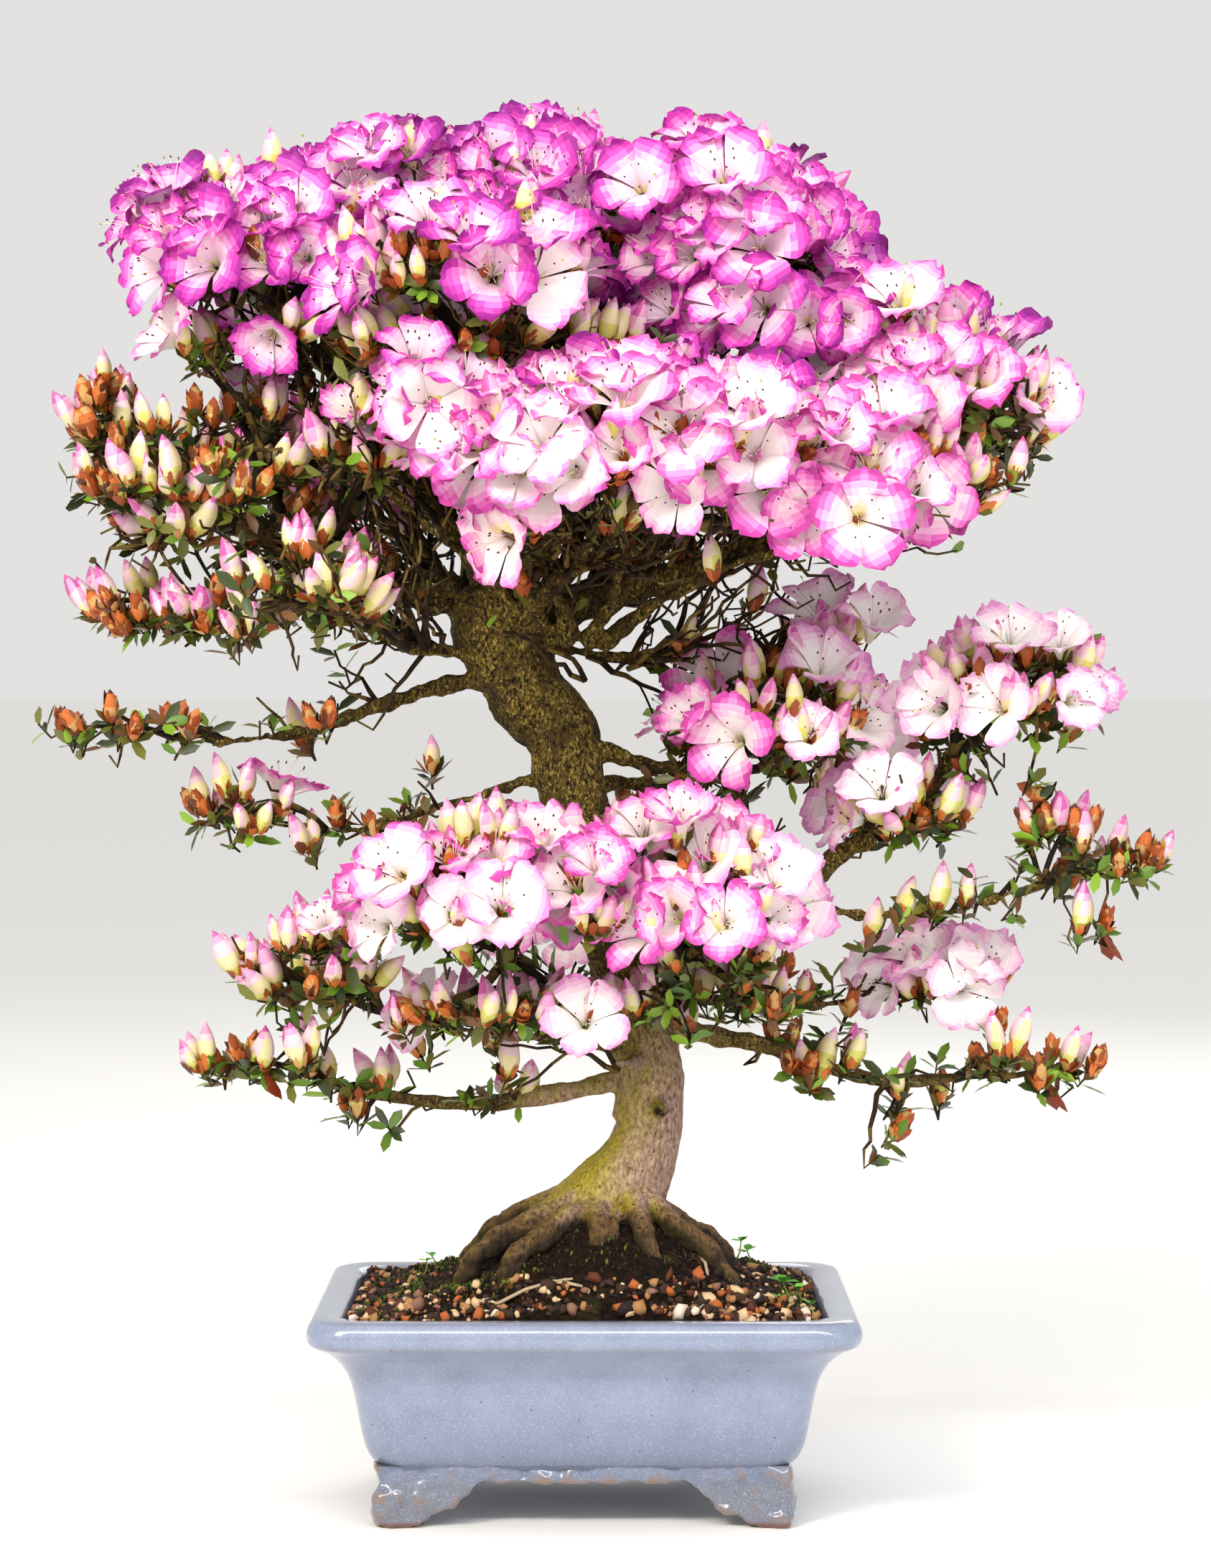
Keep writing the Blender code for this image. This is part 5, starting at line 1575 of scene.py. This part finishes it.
print(len(BUDS), "buds,", len(CLOSED_BUDS), "resting buds,", len(LEAVES), "leaves and", len(SCALES), "scales")

# %% [markdown]
# Dressing a spray. The chance that came with each site says what stands on it: one or two
# flowers, buds, or only leaves. The first flowers to come keep their room, so that a later one
# too near them is left out. Flowers turn to the light, which comes from in front and a little
# from the left. Leaves are hung last, so that none stands in a flower's mouth.

# %% The piles of a region
FLOWER_ROOM, MOUTH_ROOM = 17.0, 13.0  # mm between two flowers, and between a flower's mouth and a leaf
FLOWER_MIDDLE, FLOWER_MOUTH, LEAF_MIDDLE = 14, 21 * MM, 9 * MM  # how far from its foot
SHADE_TOP, SHADE_MIDDLE, SHADE_HALF = 550, 30, 130  # mm: here under the crown most leaves have dropped
SCALE_DRAWS = (0, 0, 1, 1, 1, 2, 3)  # which of the scale colours, with their chances


class Dressing:
    """The piles of one region and the places that its flowers have taken."""

    def __init__(self):
        self.twigs, self.leaves, self.flowers, self.buds = Pile(), Pile(), Pile(), Pile()
        self.taken, self.feet, self.mouths, self.leafage = [], [], [], []

    def rosette(self, foot, axis, number, dice, colours, leans=(5, 50)):
        """Leaves round a shoot, the next one always a golden angle on."""
        for i in range(number):
            turn = i * GOLDEN_ANGLE + dice.uniform(-0.4, 0.4)
            place = foot - axis * dice.uniform(0, 7)
            lean = math.radians(dice.uniform(*leans))
            matrix = lean_out(to_frame(place), axis, turn, lean, dice.uniform(0.7, 1.1))
            self.leafage.append((dice.choice(LEAVES), matrix, dice.choice(colours)))

    def hang_leaves(self):
        """Puts on all leaves but those in a flower's mouth and most of those in the crown's shade."""
        for index, (shape, matrix, slot) in enumerate(self.leafage):
            middle = matrix @ Vector((LEAF_MIDDLE, 0, 0))
            place = (middle - MIDDLE) / MM
            shaded = CROWN_FROM < place.z < SHADE_TOP and abs(place.x - SHADE_MIDDLE) < SHADE_HALF
            if shaded and index % 4:
                continue
            if all((middle - mouth).length > MOUTH_ROOM * MM for mouth in self.mouths):
                self.leaves.add(shape, matrix, slot)

    def flower(self, foot, aim, dice, palette):
        """A flower, if there is room for it."""
        middle = foot + aim * FLOWER_MIDDLE
        if any((middle - other).length < FLOWER_ROOM for other in self.taken):
            return False
        self.taken.append(middle)
        shape = dice.choice(FLOWERS)
        slots = shape[4] + palette * len(BANDS) * (shape[4] < FIRST_STAMEN)
        matrix = stand(to_frame(foot), aim, dice.uniform(0, 6.28), dice.uniform(0.84, 1.08))
        self.flowers.add((*shape[:4], slots), matrix)
        self.mouths.append(matrix @ Vector((0, 0, FLOWER_MOUTH)))
        return True

    def scales(self, foot, axis, number, leans, off, dice):
        """A ring of bud scales that leave an axis a little off it."""
        for i in range(number):
            turn = 6.283 * i / number + dice.uniform(-0.4, 0.4)
            lean = math.radians(dice.uniform(*leans))
            ring = stand(to_frame(foot), axis, turn) @ Vector((off * MM, 0, 0))
            shape = dice.choice(SCALES)
            self.buds.add(shape, lean_out(ring, axis, turn, lean), FIRST_SCALE + dice.choice(SCALE_DRAWS))

    def bud_group(self, foot, aim, dice, resting):
        """One to three buds that part a little, each in its scales."""
        number = dice.choice((1, 1, 2)) if resting else dice.choice((1, 1, 1, 2, 2, 3))
        aim = (aim * 0.7 + Vector((0, 0, 0.75))).normalized()
        for i in range(number):
            off = round_about(aim, 6.28 * i / number + dice.uniform(-0.3, 0.3))
            axis = (aim + off * (0.0 if number == 1 else 0.24)).normalized()
            place = foot + off * (0 if number == 1 else 4.2)
            shape = dice.choice(CLOSED_BUDS if resting else BUDS)
            size = dice.uniform(0.75, 1.1)
            self.buds.add(shape, stand(to_frame(place), axis, dice.uniform(0, 6.28), size))
            self.scales(place - axis, axis, 5 if resting else 4, (56, 70), 2.6 * size, dice)
            if resting:
                self.scales(place + axis * 5 * size, axis, 4, (66, 86), 3.4 * size, dice)
        self.scales(foot - aim * 2, aim, 4, (25, 65), 1.5, dice)


# %% One spray
RIGHT_END = 192  # mm: the sprays beyond it are mostly still in bud
RIGHT_LOW, RIGHT_UNDER, RIGHT_STEP = 480, 562, 30  # between these heights the buds begin so much further in
LATE_LEAFY, LATE_FLOWERING = 0.45, 0.3  # there: the share with leaves alone, and of the others' flowers
SECOND_FLOWER, BUDS_BESIDE = 0.4, 0.12  # chances of a flowering spray
CROWN_ABOVE, SHADED_PURPLE_BEHIND = 590, -15  # mm: crown colours above the one, and behind the other the purple palette, a painted shade
PALE_BELOW, PALE_ASIDE = 300, 85  # mm: shade colours below the one, and under the crown right of the other; these glow more, a painted light
LOW_LEAVES, HIGH_LEAVES = (0, 0, 1, 1, 2, 2, 3, 4), (0, 0, 0, 1, 1, 1, 2, 3, 4, 4)  # colours to draw from
SUNWARD, BACK_SHARE = Vector((-0.25, -0.6, 0.05)), 0.5  # how flowers turn, and the share for those behind


def palette_at(foot, dice):
    """The palette of a flower by its place, with drifting borders."""
    drift = dice.uniform(-40, 40)
    high = foot.z + drift
    aside = foot.x + dice.uniform(-20, 20) if high >= PALE_BELOW else 0
    if high > CROWN_ABOVE:
        # high flowers behind take the purple palette, a painted shade
        return 3 if foot.y + drift > SHADED_PURPLE_BEHIND else 0
    return 2 if high < PALE_BELOW or (aside > PALE_ASIDE and high < CROWN_FROM + 40) else 1


def dress_spray(dressing, flowering, resting, spray, dice):
    """Puts on one spray what its chance says, in a mass with a share in flower."""
    foot, aim, chance = spray
    dressing.feet.append(foot)
    low = foot.z < PALE_BELOW + 60
    greens = LOW_LEAVES if low else HIGH_LEAVES
    if chance >= LEAFY:
        bare, leafy = (0, 0, 0, 1), range(3, 7) if low else range(2, 5)
        dressing.rosette(foot, aim, dice.choice(bare if chance >= BARE else leafy), dice, greens)
        return
    right_end = RIGHT_END - RIGHT_STEP * (foot.z < RIGHT_UNDER)
    late = foot.z > RIGHT_LOW and foot.x + dice.uniform(-12, 12) > right_end
    if late and dice.random() < LATE_LEAFY:
        dressing.rosette(foot, aim, dice.randint(3, 5), dice, greens)
        return
    if chance >= flowering * (LATE_FLOWERING if late else 1):
        dressing.bud_group(foot, aim, dice, dice.random() < resting)
        dressing.rosette(foot - aim * 2, aim, dice.randint(5, 7), dice, greens)
        return
    palette = palette_at(foot, dice)
    turned = (aim + SUNWARD * (1 if aim.y < 0.3 else BACK_SHARE) + jolt(dice, 0.35)).normalized()
    flowered = dressing.flower(foot, turned, dice, palette)
    if flowered and dice.random() < SECOND_FLOWER:
        side = round_about(aim, 0)
        dressing.flower(foot + side * 3, (aim + side * 0.85).normalized(), dice, palette)
    dressing.rosette(foot, aim, 3 if flowered else 5, dice, greens, (50, 85) if flowered else (5, 50))
    if not flowered or dice.random() < BUDS_BESIDE:
        dressing.bud_group(foot, aim, dice, False)


def put_out(dressing, stem, sites, flowering, resting, dice):
    """Grows twigs from a stem to its sites and dresses them; returns how many sprays came."""
    sprays = []
    grow(stem, sites, dice, sprays)
    add_twigs(dressing.twigs, stem, dice)
    for spray in sprays:
        dress_spray(dressing, flowering, resting, spray, dice)
    return len(sprays)


# %% [markdown]
# Along its outer two thirds every bough also puts out side shoots, short and mostly upward, with
# a few leaves each. Under the crown these make the dark net of twigs through which the sky shows.
# The places to start from are found by cutting the bough's solid across, again and again.

# %% Boughs as lines
LINE_STEP = 12.0  # mm


def bough_line(name):
    """Middles and radii along a bough, in mm: its solid cut by planes across the way it runs."""
    mesh = frame["nodes"]["bough_" + name].data
    places = (points_of(mesh) - np.array(MIDDLE)) / MM
    ends = np.array([edge.vertices[:] for edge in mesh.edges])
    tip = places[np.argmin(np.linalg.norm(places - np.array(MASSES[name][0]), axis=1))]
    start = places[np.argmax(np.linalg.norm(places - tip, axis=1))]
    way = (tip - start) / np.linalg.norm(tip - start)
    along = (places - start) @ way
    one, other = along[ends[:, 0]], along[ends[:, 1]]
    line = []
    for cut in [*np.arange(6, along.max() - 6, LINE_STEP), along.max() - 3]:
        crossing = (one < cut) != (other < cut)
        share = ((cut - one[crossing]) / (other[crossing] - one[crossing]))[:, None]
        points = places[ends[crossing, 0]] * (1 - share) + places[ends[crossing, 1]] * share
        middle = points.mean(axis=0)
        line.append((Vector(middle), float(np.linalg.norm(points - middle, axis=1).mean())))
    return line


def on_bough(line, index):
    """The middle, radius and direction of a bough at one of its cuts."""
    ahead = line[min(index + 1, len(line) - 1)][0] - line[max(index - 1, 0)][0]
    return *line[index], ahead.normalized()


def shoot_stem(middle, out, radius, sites, thick):
    """A shoot's first twig, which starts half inside the bough."""
    return Twig(middle + out * radius * 0.5, TWIG_RADIUS * thick * len(sites) ** PIPE_POWER)


# %% Side shoots
SHOOTS_FROM = 0.3  # the share of a bough, from the trunk, that stays bare
SHOOTS_UP = 0.8  # the share of them that turn upwards


def side_shoots(dressing, name, dice):
    """Short leafy shoots along a bough."""
    line = bough_line(name)
    crown = MASSES[name][0][2] > CROWN_FROM
    reaches, numbers = ((22, 62), (1, 2, 3, 4)) if crown else ((14, 36), (1, 1, 2, 3))
    kinds = (BUDDING, LEAFY, *[BARE] * 8) if crown else (LEAFY, LEAFY, BUDDING, BARE)
    total = 0
    for index in range(round(len(line) * SHOOTS_FROM), len(line)):
        middle, radius, ahead = on_bough(line, index)
        for _ in range(2 if crown else 1):
            out = round_about(ahead, dice.uniform(0, 6.283))
            out.z = abs(out.z) if dice.random() < SHOOTS_UP else out.z
            way = (ahead * 0.6 + out + Vector((0, 0, 0.35))).normalized()
            reach = dice.uniform(*reaches)
            sites = []
            for _ in range(dice.choice(numbers)):
                place = middle + way * reach * dice.uniform(0.7, 1.1) + jolt(dice, 0.45) * reach
                aim = way + jolt(dice, 0.5)
                aim = Vector((aim.x, aim.y, max(aim.z, 0.1) + 0.3)).normalized()
                sites.append((place, aim, dice.choice(kinds)))
            total += put_out(dressing, shoot_stem(middle, out, radius, sites, 1.5), sites, 0.0, 0.6, dice)
    return total


# %% [markdown]
# Inside the crown thin twigs fan out from the boughs towards the flowers above. They carry next
# to nothing, because no light reaches them, and they stop below the highest flowers.

# %% Fans of twigs
FAN_STATIONS = (0.12, 0.26, 0.4, 0.54)  # shares of a bough from the trunk
FAN_REACH = (60, 125)
FAN_UP, FAN_AHEAD, FAN_ASIDE = 0.55, 0.8, 0.75
FAN_TOP = 610  # mm: the fans end under the highest flowers
FAN_KINDS = (LEAFY, *[BARE] * 9, BUDDING)


def fans(dressing, name, dice):
    """Long thin twigs that climb from a crown bough to the flowers above it."""
    line = bough_line(name)
    total = 0
    for share in FAN_STATIONS:
        middle, radius, ahead = on_bough(line, min(round(share * (len(line) - 1)), len(line) - 2))
        for _ in range(2):
            out = round_about(ahead, dice.uniform(0, 6.283))
            way = (ahead * FAN_AHEAD + out * FAN_ASIDE + Vector((0, 0, FAN_UP))).normalized()
            reach = dice.uniform(*FAN_REACH)
            sites = []
            for _ in range(dice.choice((4, 5, 6, 7))):
                place = middle + (way + jolt(dice, 0.4)) * reach * dice.uniform(0.65, 1.1)
                if place.z > FAN_TOP:
                    place.z = FAN_TOP - dice.uniform(0, 20)
                aim = Vector((way.x, way.y, 0.4)) + jolt(dice, 0.5)
                aim.z = max(aim.z, 0.2)
                sites.append((place, aim.normalized(), dice.choice(FAN_KINDS)))
            total += put_out(dressing, shoot_stem(middle, out, radius, sites, 1.35), sites, 0.0, 0.5, dice)
    return total


# %% [markdown]
# Now each mass is grown from its bough's tip and each fill from the nearest place on its bough.
# Where nearly all sprays flower they stand closer, and where most are buds they stand wider.
# Each mass and fill has its own dice, so a change to one leaves the others as they are.

# %% One mass
SITE_DEPTHS, UNDER_DEPTHS, INNER_DEPTHS = (0.8, 0.97), (0.6, 0.95), (0.4, 0.8)
UNDER_HEIGHTS, INNER_HEIGHTS = (UNDER_LOW, DOME_LOW), (-0.6, 0.95)
UNDER_SHARE, INNER_SHARE = 0.22, 0.28  # sprays under and inside a dome for each one on it
LOWER = {"left": -0.85, "left_low": -0.7, "low_left": -0.6, "front": -0.65, "right": -0.6}  # clad so low
TIPS = ("low_left_tip", "low_right_tip", "far_left", "far_right", "mid_left")  # small, at the ends of boughs
TIP_SPACING, BUD_SPACING, SITE_SPACING, FLOWER_SPACING = 34.0, 31.0, 23.0, 21.0  # mm between sprays
MOSTLY_BUDS, MOSTLY_FLOWERS = 0.35, 0.8  # shares in flower
RESTING = {"far_left": 0.95, "low_left_tip": 0.8, "low_right_tip": 0.75, "far_right": 0.5, "left": 0.4}
RESTING_ELSEWHERE = 0.2  # the share of buds still closed


def dome_area(half):
    """Rough area of an ellipsoid's part above DOME_LOW, in square mm."""
    a, b, c = (side**1.6 for side in half)
    return 4 * math.pi * ((a * b + a * c + b * c) / 3) ** (1 / 1.6) * (1 - DOME_LOW) / 2


def spacing_of(name, flowering):
    if name in TIPS:
        return TIP_SPACING
    if flowering < MOSTLY_BUDS:
        return BUD_SPACING
    return SITE_SPACING if flowering < MOSTLY_FLOWERS else FLOWER_SPACING


def dress_mass(dressing, name):
    """One mass: its stem on the bough's tip, its twigs and all that they carry."""
    centre, half, flowering = MASSES[name]
    tip, radius = bough_line(name)[-1]
    dice = random.Random(name)
    along = (Vector(centre) - tip).normalized()
    lowest = LOWER.get(name, DOME_LOW)
    count = round(dome_area(half) * (1 - lowest) / (1 - DOME_LOW) / spacing_of(name, flowering) ** 2)
    others = [other for other in MASSES if other != name]
    sites = dome_sites(centre, half, count, dice, lowest, SITE_DEPTHS, along, others)
    sites += loose_sites(centre, half, round(UNDER_SHARE * count), dice, UNDER_HEIGHTS, UNDER_DEPTHS)
    sites += loose_sites(centre, half, round(INNER_SHARE * count), dice, INNER_HEIGHTS, INNER_DEPTHS)
    stem = Twig(tip - along * 2, radius)
    stem.on_to(tip + along * 8, radius * 0.9)
    total = put_out(dressing, stem, sites, flowering, RESTING.get(name, RESTING_ELSEWHERE), dice)
    if centre[2] > CROWN_FROM:
        total += fans(dressing, name, random.Random("fan " + name))
    return total + side_shoots(dressing, name, dice)


# %% One fill
FILL_LOW, FILL_DEPTHS, FILL_CLEAR = -0.8, (0.6, 1.0), 0.9
FILL_INNER, FILL_INNER_HEIGHTS, FILL_INNER_DEPTHS = 0.4, (-0.9, 0.9), (0.2, 0.8)
FILL_STEM = 4  # mm: the thickest radius of a stem


def dress_fill(dressing, name, centre, half, flowering):
    """One filling dome, grown from the nearest place on its bough."""
    middle, radius = min(bough_line(name), key=lambda cut: (cut[0] - Vector(centre)).length)
    dice = random.Random(f"{name} {centre}")
    count = round(dome_area(half) / SITE_SPACING**2)
    sites = dome_sites(centre, half, count, dice, FILL_LOW, FILL_DEPTHS)
    sites += loose_sites(centre, half, round(FILL_INNER * count), dice, FILL_INNER_HEIGHTS, FILL_INNER_DEPTHS)
    sites = [site for site in sites if all(level_in(other, site[0]) > FILL_CLEAR for other in MASSES)]
    stem = Twig(middle, min(radius, FILL_STEM))
    return put_out(dressing, stem, sites, flowering, RESTING.get(name, RESTING_ELSEWHERE), dice)


# %% Single shoots and withered leaves
SINGLE_SHOOTS = [  # region, where it leaves the wood, its radius, its ends with their chance, all in mm
    ("skirt", (17, -22, 228), 1.9, [
        ((-42, -62, 262), LEAFY), ((-24, -58, 268), BUDDING), ((-2, -50, 276), LEAFY),
        ((-34, -50, 244), BUDDING),
    ]),
    ("skirt", (43, -18, 255), 1.5, [
        ((92, -36, 268), LEAFY), ((74, -42, 284), BUDDING), ((96, -30, 288), LEAFY),
    ]),
    ("middle", (-79, -14, 374), 0.9, [((-80, -16, 402), BUDDING)]),
    ("crown_right", (0, -20, 430), 1.6, [
        ((-52, -66, 470), LEAFY), ((-38, -70, 492), BUDDING), ((-70, -60, 488), LEAFY),
    ]),
    ("crown_right", (22, -22, 436), 1.7, [
        ((70, -70, 474), BARE), ((92, -74, 492), LEAFY), ((60, -80, 500), BUDDING),
    ]),
]
WITHERED = [  # region, and near which place a dead leaf hangs
    ("middle", (261, -30, 292)), ("skirt", (238, -10, 207)), ("crown_right", (182, -60, 484)),
    ("skirt", (-162, -20, 222)),
]
WITHERED_SLOT = 5


def add_singles(dressing, region):
    """The listed shoots and hanging dead leaves of one region."""
    dice = random.Random("single " + region)
    for where, start, radius, ends in SINGLE_SHOOTS:
        if where == region:
            aims = [Vector((dice.uniform(-0.4, 0.4), -0.3, 1)).normalized() for _ in ends]
            sites = [(Vector(end), aim, chance) for (end, chance), aim in zip(ends, aims)]
            put_out(dressing, Twig(Vector(start), radius), sites, 0.0, 0.6, dice)
    for where, place in WITHERED:
        if where == region:
            foot = min(dressing.feet, key=lambda other: (other - Vector(place)).length)
            for turn in (0.4, 2.2):
                matrix = lean_out(to_frame(foot), (0.1, 0, -1), turn, math.radians(62), 1.25)
                dressing.leaves.add(LEAVES[0], matrix, WITHERED_SLOT)


# %% Growing every region
for region, names in REGIONS.items():
    dressing = Dressing()
    total = sum(dress_mass(dressing, name) for name in names)
    total += sum(dress_fill(dressing, *fill) for fill in FILLS if fill[0] in names)
    add_singles(dressing, region)
    dressing.hang_leaves()
    solids = ["mass_" + name for name in names]
    finish_piece(dressing.twigs.build("twigs_" + region, wood_materials), "bark", *solids)
    finish_piece(dressing.leaves.build("leaves_" + region, leaf_materials), "buds")
    finish_piece(dressing.flowers.build("flowers_" + region, petal_materials), "blossom")
    finish_piece(dressing.buds.build("buds_" + region, bud_materials), "buds")
    print(region, total, "sprays,", len(dressing.taken), "flowers")
